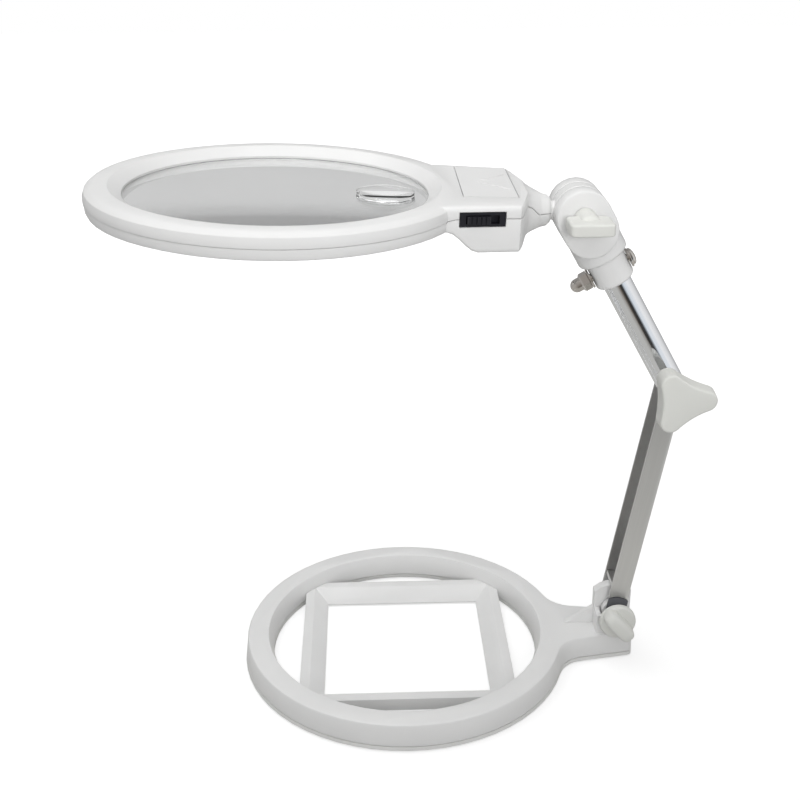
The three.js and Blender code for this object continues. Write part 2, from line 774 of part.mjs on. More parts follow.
// The flange seen from the side: straight, with a round end on each pivot
function flangeOutline() {
  return [
    ...arc(0, 0, channelHalf, 180, 360, DISC_SIDES / 2),
    ...arc(0, LOWER_LENGTH, channelHalf, 0, 180, DISC_SIDES / 2),
  ];
}

// The sheet seen from its end, with the two bends
function sheetSection() {
  const corner = channelHalf - CHANNEL_BEND;
  const side = channelSide - CHANNEL_BEND;
  return [
    at(-channelHalf, -channelSide),
    ...arc(corner, -side, CHANNEL_BEND, 270, 360, ROUND_STEPS),
    ...arc(corner, side, CHANNEL_BEND, 0, 90, ROUND_STEPS),
    at(-channelHalf, channelSide),
  ];
}

function lowerChannel() {
  const ends = channelHalf + OVERRUN;
  const top = LOWER_LENGTH + ends;
  const webInside = channelHalf - CHANNEL_SHEET;
  const sheet = common(
    plate(flangeOutline(), -channelSide, channelSide),
    prism(sheetSection(), -ends, top),
  );
  const trough = block([-ends, -channelInner, -ends], [webInside, channelInner, top]);
  const lowEnd = block([0, -channelInner, -ends], [ends, channelInner, CHANNEL_FOOT_START]);
  const highEnd = block([0, -channelInner, LOWER_LENGTH - CHANNEL_ELBOW_START], [ends, channelInner, top]);
  const across = channelSide + OVERRUN;
  const hingeBore = alongY(rod(HINGE_BOLT_RADIUS + SEAT_GAP, -across, across));
  const elbowBore = alongY(rod(ELBOW_BOLT_RADIUS + SEAT_GAP, -across, across));
  const padFloor = channelSide - CHANNEL_PAD_DEPTH;
  const recess = rod(CHANNEL_PAD_RADIUS + SEAT_GAP, padFloor, across, DISC_SIDES);
  elbowBore.translate(0, 0, LOWER_LENGTH);
  return cut(sheet, trough, lowEnd, highEnd, hingeBore, elbowBore, alongY(recess), towardViewer(recess));
}

// A thin friction pad in the pressed recess of one flange
function frictionPad(turn) {
  const low = channelSide - CHANNEL_PAD_DEPTH + SEAT_GAP;
  const high = low + CHANNEL_PAD_THICKNESS;
  const disc = turn(rod(CHANNEL_PAD_RADIUS, low, high, DISC_SIDES));
  const bore = turn(rod(HINGE_BOLT_RADIUS + SEAT_GAP, low - OVERRUN, high + OVERRUN));
  return cut(common(disc, plate(flangeOutline(), -high - OVERRUN, high + OVERRUN)), bore);
}

// A bush round the bolt between the lug and one flange
function hingeBush(turn) {
  const low = LUG_THICKNESS / 2 + RUN_GAP;
  const high = channelInner - SEAT_GAP;
  const inner = HINGE_BOLT_RADIUS + SEAT_GAP;
  return turn(revolve([
    at(inner, low),
    at(HINGE_BUSH_RADIUS, low),
    at(HINGE_BUSH_RADIUS, high),
    at(inner, high),
  ], DISC_SIDES));
}

// The filler block inside the foot of the channel
function channelPlug() {
  const side = channelInner - SEAT_GAP;
  const back = channelHalf - CHANNEL_SHEET - SEAT_GAP;
  return block([-channelHalf + PLUG_SETBACK, -side, PLUG_START], [back, side, PLUG_START + PLUG_LENGTH]);
}

// A bolt along Y with its head on the far side and its tip in the knob on the near side
function knobBolt(radius, headRadius, headHeight, seat, tip) {
  const headLow = seat + SEAT_GAP;
  const chamfer = headHeight * BOLT_CHAMFER_SHARE;
  return alongY(revolve([
    at(0, -tip),
    at(radius, -tip),
    at(radius, headLow),
    at(headRadius, headLow),
    at(headRadius, headLow + headHeight - chamfer),
    at(headRadius - chamfer, headLow + headHeight),
    at(0, headLow + headHeight),
  ], DISC_SIDES));
}

const elbowWasherFace = channelSide + SEAT_GAP + ELBOW_WASHER_THICKNESS;
const elbowKnobFace = elbowWasherFace + SEAT_GAP;
const elbowKnobDepth = ELBOW_KNOB_BOSS_LENGTH + ELBOW_KNOB_THICKNESS;

function elbowWasher() {
  const bore = ELBOW_BOLT_RADIUS + SEAT_GAP;
  return towardViewer(revolve([
    at(bore, channelSide + SEAT_GAP),
    at(ELBOW_WASHER_RADIUS, channelSide + SEAT_GAP),
    at(ELBOW_WASHER_RADIUS, elbowWasherFace),
    at(bore, elbowWasherFace),
  ], DISC_SIDES));
}

// Three round lobes joined by hollows that run into them without a corner
function lobedOutline() {
  const reach = ELBOW_KNOB_TIP - ELBOW_KNOB_LOBE;
  const waist = ELBOW_KNOB_WAIST;
  const half = 180 / LOBES;
  const slant = Math.cos(half * DEGREE);
  const gain = reach ** 2 + waist ** 2 - 2 * reach * waist * slant - ELBOW_KNOB_LOBE ** 2;
  const hollow = gain / (2 * ELBOW_KNOB_LOBE + 2 * reach * slant - 2 * waist);
  const far = waist + hollow;
  const swing = Math.atan2(far * Math.sin(half * DEGREE), far * slant - reach) / DEGREE;
  const points = [];
  for (let i = 0; i < LOBES; i += 1) {
    const turn = ELBOW_KNOB_TURN + 2 * half * i;
    const side = turn + half;
    const lobe = arc(0, 0, reach, turn, turn, 1)[0];
    const centre = arc(0, 0, far, side, side, 1)[0];
    const entry = turn + swing + 180;
    const exit = side + half - swing + 180;
    points.push(...arc(lobe.x, lobe.y, ELBOW_KNOB_LOBE, turn - swing, turn + swing, 2 * ROUND_STEPS));
    points.push(...arc(centre.x, centre.y, hollow, entry, exit, FILLET_STEPS).slice(1, -1));
  }
  return points;
}

function elbowKnob() {
  const low = elbowKnobFace + ELBOW_KNOB_BOSS_LENGTH;
  const boss = rod(ELBOW_KNOB_BOSS_RADIUS, elbowKnobFace, low + ELBOW_KNOB_THICKNESS / 2, DISC_SIDES);
  const lobes = softPrism(lobedOutline(), low, low + ELBOW_KNOB_THICKNESS, ELBOW_KNOB_ROUND);
  const bore = knobBore(ELBOW_BOLT_RADIUS, elbowKnobFace, elbowKnobDepth);
  return cut(join(towardViewer(boss), towardViewer(lobes)), bore);
}

// The depth that a bolt reaches into its knob, and the blind bore round it
function boltTip(face, depth) {
  return face + KNOB_BORE_SHARE * depth;
}

function knobBore(radius, face, depth) {
  return towardViewer(rod(radius + SEAT_GAP, face - OVERRUN, boltTip(face, depth) + SEAT_GAP));
}

const baseKnobFace = earOuter + SEAT_GAP;
const baseKnobFlange = baseKnobFace + BASE_KNOB_NECK_LENGTH;
const baseKnobDepth = BASE_KNOB_NECK_LENGTH + BASE_KNOB_FLANGE_THICKNESS + BASE_KNOB_BLADE_HEIGHT;

// A round flange on a neck, with one thick upright blade
function baseKnob() {
  const top = baseKnobFlange + BASE_KNOB_FLANGE_THICKNESS;
  const flange = revolve([
    at(0, baseKnobFace),
    at(BASE_KNOB_NECK_RADIUS, baseKnobFace),
    at(BASE_KNOB_NECK_RADIUS, baseKnobFlange),
    at(BASE_KNOB_FLANGE_RADIUS, baseKnobFlange),
    at(BASE_KNOB_FLANGE_RADIUS, top - WING_ROUND),
    at(BASE_KNOB_FLANGE_RADIUS - WING_ROUND, top),
    at(0, top),
  ], DISC_SIDES);
  const tip = baseKnobFace + baseKnobDepth;
  const half = BASE_KNOB_BLADE_SPAN / 2;
  const width = BASE_KNOB_BLADE_THICKNESS / 2;
  const outline = [
    ...arc(half - width, 0, width, -90, 90, 2 * ROUND_STEPS),
    ...arc(width - half, 0, width, 90, 270, 2 * ROUND_STEPS),
  ];
  const blade = softPrism(outline, baseKnobFlange, tip, WING_ROUND);
  blade.rotateZ(-BASE_KNOB_TURN * DEGREE);
  const bore = knobBore(HINGE_BOLT_RADIUS, baseKnobFace, baseKnobDepth);
  return cut(join(towardViewer(flange), towardViewer(blade)), bore);
}

const lowerArm = new THREE.Group();
lowerArm.position.z = PIVOT_HEIGHT;
lowerArm.rotation.y = LOWER_LEAN * DEGREE;
model.add(lowerArm);

add(lowerArm, 'lower_arm_channel', lowerChannel(), STEEL);
add(lowerArm, 'channel_plug', channelPlug(), GREY);
add(lowerArm, 'hinge_bush', hingeBush(alongY), WHITE);
add(lowerArm, 'hinge_bush_near', hingeBush(towardViewer), WHITE);
add(lowerArm, 'friction_pad_near', frictionPad(towardViewer), RUBBER);
add(lowerArm, 'friction_pad_far', frictionPad(alongY), RUBBER);

const hingeTip = boltTip(baseKnobFace, baseKnobDepth);
const hingeBolt = knobBolt(
  HINGE_BOLT_RADIUS,
  HINGE_BOLT_HEAD_RADIUS,
  HINGE_BOLT_HEAD_HEIGHT,
  earOuter,
  hingeTip,
);
add(base, 'hinge_bolt', hingeBolt, CHROME).position.z = PIVOT_HEIGHT;
add(base, 'base_knob', baseKnob(), IVORY).position.z = PIVOT_HEIGHT;

const elbow = new THREE.Group();
elbow.position.z = LOWER_LENGTH;
lowerArm.add(elbow);
const elbowTip = boltTip(elbowKnobFace, elbowKnobDepth);
const elbowBolt = knobBolt(
  ELBOW_BOLT_RADIUS,
  ELBOW_BOLT_HEAD_RADIUS,
  ELBOW_BOLT_HEAD_HEIGHT,
  channelSide,
  elbowTip,
);
add(elbow, 'elbow_bolt', elbowBolt, CHROME);
add(elbow, 'elbow_washer', elbowWasher(), CHROME);
add(elbow, 'elbow_knob', elbowKnob(), IVORY).rotation.y = -LOWER_LEAN * DEGREE;

// Upper arm

const upperArm = new THREE.Group();
upperArm.rotation.y = (UPPER_LEAN - LOWER_LEAN) * DEGREE;
elbow.add(upperArm);

const legBottom = UPPER_LENGTH - LEG_START;
const collarBottom = legBottom - COLLAR_LENGTH;
const tubeTop = legBottom + TUBE_INSERTION;
const crossBoltHeight = UPPER_LENGTH - CROSS_BOLT_DROP;

function upperTube() {
  const inner = TUBE_RADIUS - TUBE_SHEET;
  const across = TUBE_RADIUS + OVERRUN;
  const wall = revolve([
    at(inner, -TUBE_END),
    at(TUBE_RADIUS, -TUBE_END),
    at(TUBE_RADIUS, tubeTop),
    at(inner, tubeTop),
  ], DISC_SIDES);
  const pivot = alongY(rod(ELBOW_BOLT_RADIUS + SEAT_GAP, -across, across));
  const cross = alongX(rod(CROSS_BOLT_RADIUS + SEAT_GAP, -across, across));
  return cut(wall, pivot, cross.translate(0, 0, crossBoltHeight));
}

// A cap on the foot of the tube with a short spigot inside it
function tubeEndPlug() {
  const capTop = -TUBE_END - SEAT_GAP;
  const spigot = TUBE_RADIUS - TUBE_SHEET - SEAT_GAP;
  const spigotTop = -ELBOW_BOLT_RADIUS - 2 * SEAT_GAP;
  return revolve([
    at(0, capTop - END_PLUG_CAP),
    at(TUBE_RADIUS - END_PLUG_CAP / 2, capTop - END_PLUG_CAP),
    at(TUBE_RADIUS, capTop - END_PLUG_CAP / 2),
    at(TUBE_RADIUS, capTop),
    at(spigot, capTop),
    at(spigot, spigotTop),
    at(0, spigotTop),
  ], DISC_SIDES);
}

// The moulded clamp: collar and leg round the tube, and a slotted block for the head's eye
function clampBracket() {
  const blockLow = UPPER_LENGTH - BLOCK_DROP;
  const outline = [
    ...arc(0, UPPER_LENGTH, BLOCK_RADIUS, 0, 180, DISC_SIDES / 2),
    ...arc(0, blockLow, BLOCK_RADIUS, 180, 360, DISC_SIDES / 2),
  ];
  const cheeks = softPlate(outline, -BLOCK_HALF_WIDTH, BLOCK_HALF_WIDTH, BLOCK_ROUND);
  const stem = revolve([
    at(0, collarBottom),
    at(COLLAR_RADIUS - COLLAR_ROUND, collarBottom),
    at(COLLAR_RADIUS, collarBottom + COLLAR_ROUND),
    at(COLLAR_RADIUS, legBottom),
    ...arc(LEG_RADIUS - LEG_ROUND, legBottom + LEG_ROUND, LEG_ROUND, -90, 0, ROUND_STEPS),
    at(LEG_RADIUS, blockLow),
    at(0, blockLow),
  ], DISC_SIDES);
  const boreTop = tubeTop + SEAT_GAP;
  const tubeBore = rod(TUBE_RADIUS + SEAT_GAP, collarBottom - OVERRUN, boreTop, DISC_SIDES);
  const slot = alongY(rod(BLOCK_RADIUS + RUN_GAP, -SOCKET_HALF_WIDTH, SOCKET_HALF_WIDTH, DISC_SIDES));
  const across = BLOCK_HALF_WIDTH + OVERRUN;
  const boltBore = alongY(rod(HEAD_BOLT_RADIUS + SEAT_GAP, -across, across));
  const crossBore = alongX(rod(CROSS_BOLT_RADIUS + SEAT_GAP, -across, across));
  return cut(
    join(cheeks, stem),
    tubeBore,
    slot.translate(0, 0, UPPER_LENGTH),
    boltBore.translate(0, 0, UPPER_LENGTH),
    crossBore.translate(0, 0, crossBoltHeight),
  );
}

const crossWasherFace = COLLAR_RADIUS + SEAT_GAP + CROSS_WASHER_THICKNESS;
const crossSeat = crossWasherFace + SEAT_GAP;
const acornHexTop = crossSeat + ACORN_HEX_HEIGHT;

// The cross bolt along X: a low dome head on the right, its tip inside the nut on the left
function crossBolt() {
  const tip = -(crossSeat + ACORN_HEX_HEIGHT);
  return alongX(revolve([
    at(0, tip),
    at(CROSS_BOLT_RADIUS, tip),
    at(CROSS_BOLT_RADIUS, crossSeat),
    ...oval(0, crossSeat, CROSS_HEAD_RADIUS, CROSS_HEAD_HEIGHT, 0, 90, ROUND_STEPS),
  ], ROD_SIDES));
}

function crossWasher() {
  const bore = CROSS_BOLT_RADIUS + SEAT_GAP;
  const low = COLLAR_RADIUS + SEAT_GAP;
  return alongX(revolve([
    at(bore, low),
    at(CROSS_WASHER_RADIUS, low),
    at(CROSS_WASHER_RADIUS, crossWasherFace),
    at(bore, crossWasherFace),
  ], ROD_SIDES));
}

// A hex nut closed by a dome
function acornNut() {
  const hex = arc(0, 0, ACORN_CORNER_RADIUS, 0, 360 - 360 / HEX_SIDES, HEX_SIDES - 1);
  const dome = revolve([
    at(0, crossSeat + ACORN_HEX_HEIGHT / 2),
    at(ACORN_DOME_RADIUS, crossSeat + ACORN_HEX_HEIGHT / 2),
    ...oval(0, acornHexTop, ACORN_DOME_RADIUS, ACORN_DOME_LENGTH, 0, 90, ROUND_STEPS),
  ], ROD_SIDES);
  const bore = rod(CROSS_BOLT_RADIUS + SEAT_GAP, crossSeat - OVERRUN, acornHexTop + SEAT_GAP);
  return alongX(toGeometry(cut(join(prism(hex, crossSeat, acornHexTop), dome), bore)));
}

const headKnobFace = BLOCK_HALF_WIDTH + SEAT_GAP;

// A domed hub with a flat wing across it
function headKnob() {
  const hubEnd = headKnobFace + WING_HUB_LENGTH;
  const hub = revolve([
    at(0, headKnobFace),
    at(WING_HUB_RADIUS, headKnobFace),
    ...oval(0, hubEnd - WING_HUB_DOME, WING_HUB_RADIUS, WING_HUB_DOME, 0, 90, ROUND_STEPS),
  ], ROD_SIDES);
  const half = WING_SPAN / 2;
  const low = headKnobFace + WING_SETBACK;
  const high = low + WING_LENGTH;
  const outline = [
    ...arc(half - WING_CORNER, low + WING_CORNER, WING_CORNER, -90, 0, ROUND_STEPS),
    ...arc(half - WING_CORNER, high - WING_CORNER, WING_CORNER, 0, 90, ROUND_STEPS),
    ...arc(WING_CORNER - half, high - WING_CORNER, WING_CORNER, 90, 180, ROUND_STEPS),
    ...arc(WING_CORNER - half, low + WING_CORNER, WING_CORNER, 180, 270, ROUND_STEPS),
  ];
  const wing = softPrism(outline, -WING_THICKNESS / 2, WING_THICKNESS / 2, WING_ROUND);
  wing.rotateX(QUARTER);
  const bore = knobBore(HEAD_BOLT_RADIUS, headKnobFace, WING_HUB_LENGTH);
  return cut(join(towardViewer(hub), towardViewer(wing)), bore);
}

add(upperArm, 'upper_arm_tube', upperTube(), CHROME);
add(upperArm, 'tube_end_plug', tubeEndPlug(), BLACK);
add(upperArm, 'clamp_bracket', clampBracket(), WHITE);

const collar = new THREE.Group();
collar.position.z = crossBoltHeight;
upperArm.add(collar);
add(collar, 'collar_bolt', crossBolt(), CHROME);
add(collar, 'collar_washer_right', crossWasher(), CHROME);
add(collar, 'collar_washer_left', crossWasher(), CHROME).rotation.z = Math.PI;
add(collar, 'acorn_nut', acornNut(), CHROME).rotation.z = Math.PI;

const headPivot = new THREE.Group();
headPivot.position.z = UPPER_LENGTH;
headPivot.rotation.y = -UPPER_LEAN * DEGREE;
upperArm.add(headPivot);
const headTip = boltTip(headKnobFace, WING_HUB_LENGTH);
const headBolt = knobBolt(
  HEAD_BOLT_RADIUS,
  HEAD_BOLT_HEAD_RADIUS,
  HEAD_BOLT_HEAD_HEIGHT,
  BLOCK_HALF_WIDTH,
  headTip,
);
add(headPivot, 'head_bolt', headBolt, CHROME);
add(headPivot, 'head_knob', headKnob(), IVORY);

// Head stud: an eye between the cheeks and a flanged shank in the neck

const headMount = new THREE.Group();
headMount.rotation.y = HEAD_TILT * DEGREE;
headPivot.add(headMount);

function headStud() {
  const half = SOCKET_HALF_WIDTH - SEAT_GAP;
  const eye = alongY(revolve([
    at(0, -half),
    at(BLOCK_RADIUS - STUD_EYE_ROUND, -half),
    at(BLOCK_RADIUS, STUD_EYE_ROUND - half),
    at(BLOCK_RADIUS, half - STUD_EYE_ROUND),
    at(BLOCK_RADIUS - STUD_EYE_ROUND, half),
    at(0, half),
  ], DISC_SIDES));
  const flangeEnd = STUD_FLANGE_OFFSET + STUD_FLANGE_THICKNESS;
  const shank = revolve([
    at(0, BLOCK_RADIUS / 2),
    at(STUD_RADIUS, BLOCK_RADIUS / 2),
    at(STUD_RADIUS, STUD_FLANGE_OFFSET),
    at(STUD_FLANGE_RADIUS, STUD_FLANGE_OFFSET),
    at(STUD_FLANGE_RADIUS, flangeEnd),
    at(STUD_RADIUS, flangeEnd),
    at(STUD_RADIUS, STUD_LENGTH),
    at(0, STUD_LENGTH),
  ], ROD_SIDES);
  const bore = alongY(rod(HEAD_BOLT_RADIUS + SEAT_GAP, -half - OVERRUN, half + OVERRUN));
  return cut(join(eye, shank.rotateY(-QUARTER)), bore);
}

add(headMount, 'head_stud', headStud(), WHITE);

// Lens head: X runs from the lens centre along the handle to the pivot

const head = new THREE.Group();
head.rotation.x = HEAD_ROLL * DEGREE;
headMount.add(head);
const lensFrame = new THREE.Group();
lensFrame.position.x = -HEAD_REACH;
head.add(lensFrame);

const headTop = HEAD_RISE;
const headBottom = headTop - HEAD_THICKNESS;
const ringParting = headTop - HEAD_PARTING;
const handleParting = headTop - HANDLE_PARTING;
const bellyBottom = headTop - BELLY_DEPTH;
const neckEnd = SHOULDER + NECK_LENGTH;

function lerp(from, to, share) {
  return from + (to - from) * share;
}

function smooth(share) {
  const held = Math.min(Math.max(share, 0), 1);
  return held * held * (3 - 2 * held);
}

// Half the handle's width, and its underside, at a distance from the lens centre
function handleHalf(along) {
  const share = Math.max(along - HANDLE_TAPER_START, 0) / (HANDLE_REAR - HANDLE_TAPER_START);
  return lerp(HANDLE_HALF, HANDLE_REAR_HALF, share);
}

function handleBottom(along) {
  const share = smooth((along - BELLY_START) / BELLY_RUN);
  return headTop - lerp(HANDLE_DEPTH, BELLY_DEPTH, share);
}

// A cross-section of the handle: a rectangle with round corners
function station(along, half, bottom, top, corner) {
  const round = Math.min(corner, half * CORNER_WIDTH_SHARE, (top - bottom) * CORNER_HEIGHT_SHARE);
  return [
    ...arc(half - round, top - round, round, 0, 90, CORNER_STEPS),
    ...arc(round - half, top - round, round, 90, 180, CORNER_STEPS),
    ...arc(round - half, bottom + round, round, 180, 270, CORNER_STEPS),
    ...arc(half - round, bottom + round, round, 270, 360, CORNER_STEPS),
  ].map((point) => new THREE.Vector3(along, point.x, point.y));
}

// Stations from the ring to the rear of the handle, drawn in by a wall and a roof
function handleStations(wall, roof, from, to) {
  const places = [from];
  for (let i = 0; i <= BELLY_STEPS; i += 1) {
    places.push(BELLY_START + BELLY_RUN * i / BELLY_STEPS);
  }
  places.push(to);
  const corner = Math.max(HEAD_ROUND - wall, HEAD_ROUND * INNER_ROUND_SHARE);
  return places.map((along) => {
    return station(along, handleHalf(along) - wall, handleBottom(along) + wall, headTop - roof, corner);
  });
}

// Shares of the way from the rear corner to the shoulder, and of the width lost there
const shoulderShares = [[0.2, 0.1], [0.45, 0.32], [0.72, 0.64], [1, 1]];

// Shares of the way along the neck to its dome, and of the change from the shoulder to the round tip
const neckShares = [[0.16, 0.28], [0.38, 0.5], [0.62, 0.7], [0.84, 0.88], [1, 1]];

// A round station of the neck
function neckStation(along, radius) {
  return station(along, radius, -radius, radius, radius);
}

function handleBody() {
  const rings = handleStations(0, 0, HANDLE_START, HANDLE_REAR);
  const domeStart = neckEnd - NECK_DOME;
  const shoulderBottom = headTop - SHOULDER_DEPTH;
  shoulderShares.forEach(([along, lost]) => {
    const half = lerp(HANDLE_REAR_HALF, SHOULDER_HALF, lost);
    const bottom = lerp(bellyBottom, shoulderBottom, along);
    const corner = lerp(HEAD_ROUND, NECK_TIP_RADIUS / 2, along);
    rings.push(station(lerp(HANDLE_REAR, SHOULDER, along), half, bottom, headTop, corner));
  });
  neckShares.forEach(([along, changed]) => {
    const half = lerp(SHOULDER_HALF, NECK_TIP_RADIUS, changed);
    const bottom = lerp(shoulderBottom, -NECK_TIP_RADIUS, changed);
    const top = lerp(headTop, NECK_TIP_RADIUS, changed);
    const corner = lerp(NECK_TIP_RADIUS / 2, NECK_TIP_RADIUS, changed);
    rings.push(station(lerp(SHOULDER, domeStart, along), half, bottom, top, corner));
  });
  const dome = oval(domeStart, NECK_TIP_RADIUS - NECK_DOME, NECK_DOME, NECK_DOME, 90, 0, ROUND_STEPS);
  dome.slice(1).forEach((point) => rings.push(neckStation(point.x, point.y)));
  return loft(rings);
}

function headRing() {
  const round = HEAD_ROUND;
  const lower = HEAD_RADIUS - HEAD_LOWER_INSET;
  const shoulder = HEAD_RADIUS - HEAD_SHOULDER_WIDTH;
  const shoulderLow = headTop - HEAD_SHOULDER_DROP;
  return revolve([
    at(HEAD_BORE_RADIUS, headBottom),
    ...arc(lower - round, headBottom + round, round, -90, 0, ROUND_STEPS - 1),
    at(lower, ringParting),
    at(HEAD_RADIUS, ringParting),
    ...oval(shoulder, shoulderLow, HEAD_SHOULDER_WIDTH, HEAD_SHOULDER_DROP, 0, 90, ROUND_STEPS),
    at(HEAD_FLAT_RADIUS, headTop),
    at(HEAD_BORE_RADIUS, headTop - HEAD_SLOPE_DEPTH),
  ], RING_SIDES);
}

// The opening for the lens with its groove, cut from the handle too
function lensOpening() {
  const over = HEAD_FLAT_RADIUS + OVERRUN * HEAD_SLOPE_WIDTH / HEAD_SLOPE_DEPTH;
  const groove = LENS_EDGE / 2 + SEAT_GAP;
  return revolve([
    at(0, bellyBottom),
    at(HEAD_BORE_RADIUS, bellyBottom),
    at(HEAD_BORE_RADIUS, ringParting - groove),
    at(LENS_RADIUS + SEAT_GAP, ringParting - groove),
    at(LENS_RADIUS + SEAT_GAP, ringParting + groove),
    at(HEAD_BORE_RADIUS, ringParting + groove),
    at(HEAD_BORE_RADIUS, headTop - HEAD_SLOPE_DEPTH),
    at(HEAD_FLAT_RADIUS, headTop),
    at(over, headTop + OVERRUN),
    at(0, headTop + OVERRUN),
  ], RING_SIDES);
}

// The hollow inside ring and handle, outside the lens seat
function headHollow() {
  const rim = LENS_RADIUS + SEAT_GAP + HEAD_WALL;
  const low = headBottom + HEAD_WALL;
  const high = headTop - HEAD_WALL;
  const outer = HEAD_RADIUS - HEAD_LOWER_INSET - HEAD_WALL;
  const slope = (HEAD_FLAT_RADIUS - rim) * HEAD_SLOPE_DEPTH / HEAD_SLOPE_WIDTH;
  const ring = revolve([
    at(rim, low),
    at(outer, low),
    at(outer, high),
    at(HEAD_FLAT_RADIUS, high),
    at(rim, high - slope),
  ], RING_SIDES);
  const bay = loft(handleStations(HEAD_WALL, HANDLE_ROOF, HANDLE_START, BAY_REAR));
  return join(ring, cut(bay, rod(rim, bellyBottom, headTop, RING_SIDES)));
}

// Shares of the way along the neck, and of the handle's parting height there
const partingShares = [[0, 1], [0.25, 0.6], [0.5, 0]];

// Where the two shells meet, seen from the near side, with the rest of the box above or below
function partingRegion(side, shift) {
  const far = side * (BELLY_DEPTH + OVERRUN);
  const left = -HEAD_RADIUS - OVERRUN;
  const right = neckEnd + OVERRUN;
  return plate([
    at(left, far),
    at(left, ringParting + shift),
    at(LED_OFFSET - LED_RADIUS, ringParting + shift),
    at(LED_OFFSET + LED_RADIUS, handleParting + shift),
    ...partingShares.map(([along, kept]) => {
      return at(SHOULDER + NECK_LENGTH * along, handleParting * kept + shift);
    }),
    at(right, shift),
    at(right, far),
  ], -HEAD_RADIUS - OVERRUN, HEAD_RADIUS + OVERRUN);
}

function rectangle(left, right, near, far) {
  return [at(left, near), at(right, near), at(right, far), at(left, far)];
}

// The cover's outline, or the same drawn out by a margin
function coverOutline(margin) {
  const left = COVER_START - margin;
  const right = COVER_START + COVER_LENGTH + margin;
  return rectangle(left, right, -COVER_NEAR - margin, COVER_FAR + margin);
}

const coverLow = headTop - COVER_THICKNESS;

function coverOpening() {
  const seat = prism(coverOutline(SEAT_GAP), coverLow - SEAT_GAP, headTop + OVERRUN);
  const hole = prism(coverOutline(-COVER_LEDGE), headTop - HANDLE_ROOF - OVERRUN, headTop);
  return join(seat, hole);
}

// The bore and chamber that hold the stud
function studBore() {
  const radius = STUD_RADIUS + SEAT_GAP;
  const chamber = STUD_FLANGE_RADIUS + SEAT_GAP;
  const flangeEnd = STUD_FLANGE_OFFSET + STUD_FLANGE_THICKNESS;
  const bore = revolve([
    at(0, NECK_GAP - OVERRUN),
    at(radius, NECK_GAP - OVERRUN),
    at(radius, STUD_FLANGE_OFFSET - SEAT_GAP),
    at(chamber, STUD_FLANGE_OFFSET - SEAT_GAP),
    at(chamber, flangeEnd + SEAT_GAP),
    at(radius, flangeEnd + SEAT_GAP),
    at(radius, STUD_LENGTH + SEAT_GAP),
    at(0, STUD_LENGTH + SEAT_GAP),
  ], ROD_SIDES);
  return bore.rotateY(-QUARTER).translate(HEAD_REACH, 0, 0);
}

// The switch lies along the tapered near wall
const switchAngle = Math.atan2(HANDLE_HALF - HANDLE_REAR_HALF, HANDLE_REAR - HANDLE_TAPER_START);
const switchMiddle = SWITCH_START + SWITCH_LENGTH / 2;
const switchHeight = headTop - SWITCH_DROP - SWITCH_HEIGHT / 2;
const switchPlace = new THREE.Vector3(switchMiddle, -handleHalf(switchMiddle), switchHeight);

// A box on the wall: centred along it, from one depth behind its face to another
function onWall(length, height, outside, inside) {
  return block([-length / 2, -outside, -height / 2], [length / 2, inside, height / 2]);
}

function placedOnWall(geometry) {
  return geometry.rotateZ(switchAngle).translate(switchPlace.x, switchPlace.y, switchPlace.z);
}

function switchOpening() {
  const gap = 2 * SEAT_GAP;
  const seatDepth = SWITCH_PLATE - SWITCH_PROUD + SEAT_GAP;
  const seat = onWall(SWITCH_LENGTH + gap, SWITCH_HEIGHT + gap, OVERRUN, seatDepth);
  const hole = onWall(SWITCH_BODY_LENGTH + gap, SWITCH_BODY_HEIGHT + gap, OVERRUN, SWITCH_BODY_DEPTH);
  return join(placedOnWall(seat), placedOnWall(hole));
}

function ledPlaces() {
  return [at(LED_OFFSET, -LED_SPREAD), at(LED_OFFSET, LED_SPREAD)];
}

const batteryHeight = bellyBottom + HEAD_WALL + SEAT_GAP + BATTERY_RADIUS;
const batteryMiddle = (COVER_FAR - COVER_NEAR) / 2;
const batteryPitch = 2 * BATTERY_RADIUS + SEAT_GAP;
const lastBattery = BAY_REAR - SEAT_GAP - BATTERY_RADIUS;
const contactNear = BATTERY_LENGTH / 2 + BATTERY_NUB_LENGTH + SEAT_GAP;
const contactLeft = lastBattery - (BATTERY_COUNT - 1) * batteryPitch - BATTERY_NUB_RADIUS;
const contactRight = lastBattery + BATTERY_NUB_RADIUS;

// Ribs on the floor of the bay behind the two contact plates
function contactRibs() {
  const inside = contactNear + CONTACT_THICKNESS + SEAT_GAP;
  const low = bellyBottom + HEAD_WALL / 2;
  const high = batteryHeight + CONTACT_HEIGHT / 2;
  return [-1, 1].map((side) => {
    const faces = [batteryMiddle + side * inside, batteryMiddle + side * (inside + CONTACT_RIB)];
    return block([contactLeft, Math.min(...faces), low], [contactRight, Math.max(...faces), high]);
  });
}

const headShell = join(headRing(), handleBody());
const headCuts = [headHollow(), lensOpening(), coverOpening(), studBore(), switchOpening()];

function upperShell() {
  return cut(common(headShell, partingRegion(1, SEAT_GAP / 2)), ...headCuts);
}

function lowerShell() {
  const lamps = ledPlaces().map((place) => {
    return rod(LED_RADIUS + SEAT_GAP, bellyBottom, headTop - HEAD_WALL).translate(place.x, place.y, 0);
  });
  const shell = cut(common(headShell, partingRegion(-1, -SEAT_GAP / 2)), ...headCuts);
  const ribTop = partingRegion(-1, -SEAT_GAP);
  const ribs = contactRibs().map((rib) => common(rib, ribTop));
  return cut(join(shell, ...ribs), ...lamps);
}

function batteryCover() {
  return prism(coverOutline(0), coverLow, headTop);
}

// The curve of one lens face: radius and height from the rim to the middle
function lensProfile(radius, edge, bulge) {
  const points = [];
  for (let i = 0; i <= LENS_STEPS; i += 1) {
    const share = 1 - i / LENS_STEPS;
    points.push(at(radius * share, edge / 2 + bulge * (1 - share * share)));
  }
  const under = points.map((point) => at(point.x, -point.y)).reverse();
  return [...under, ...points];
}

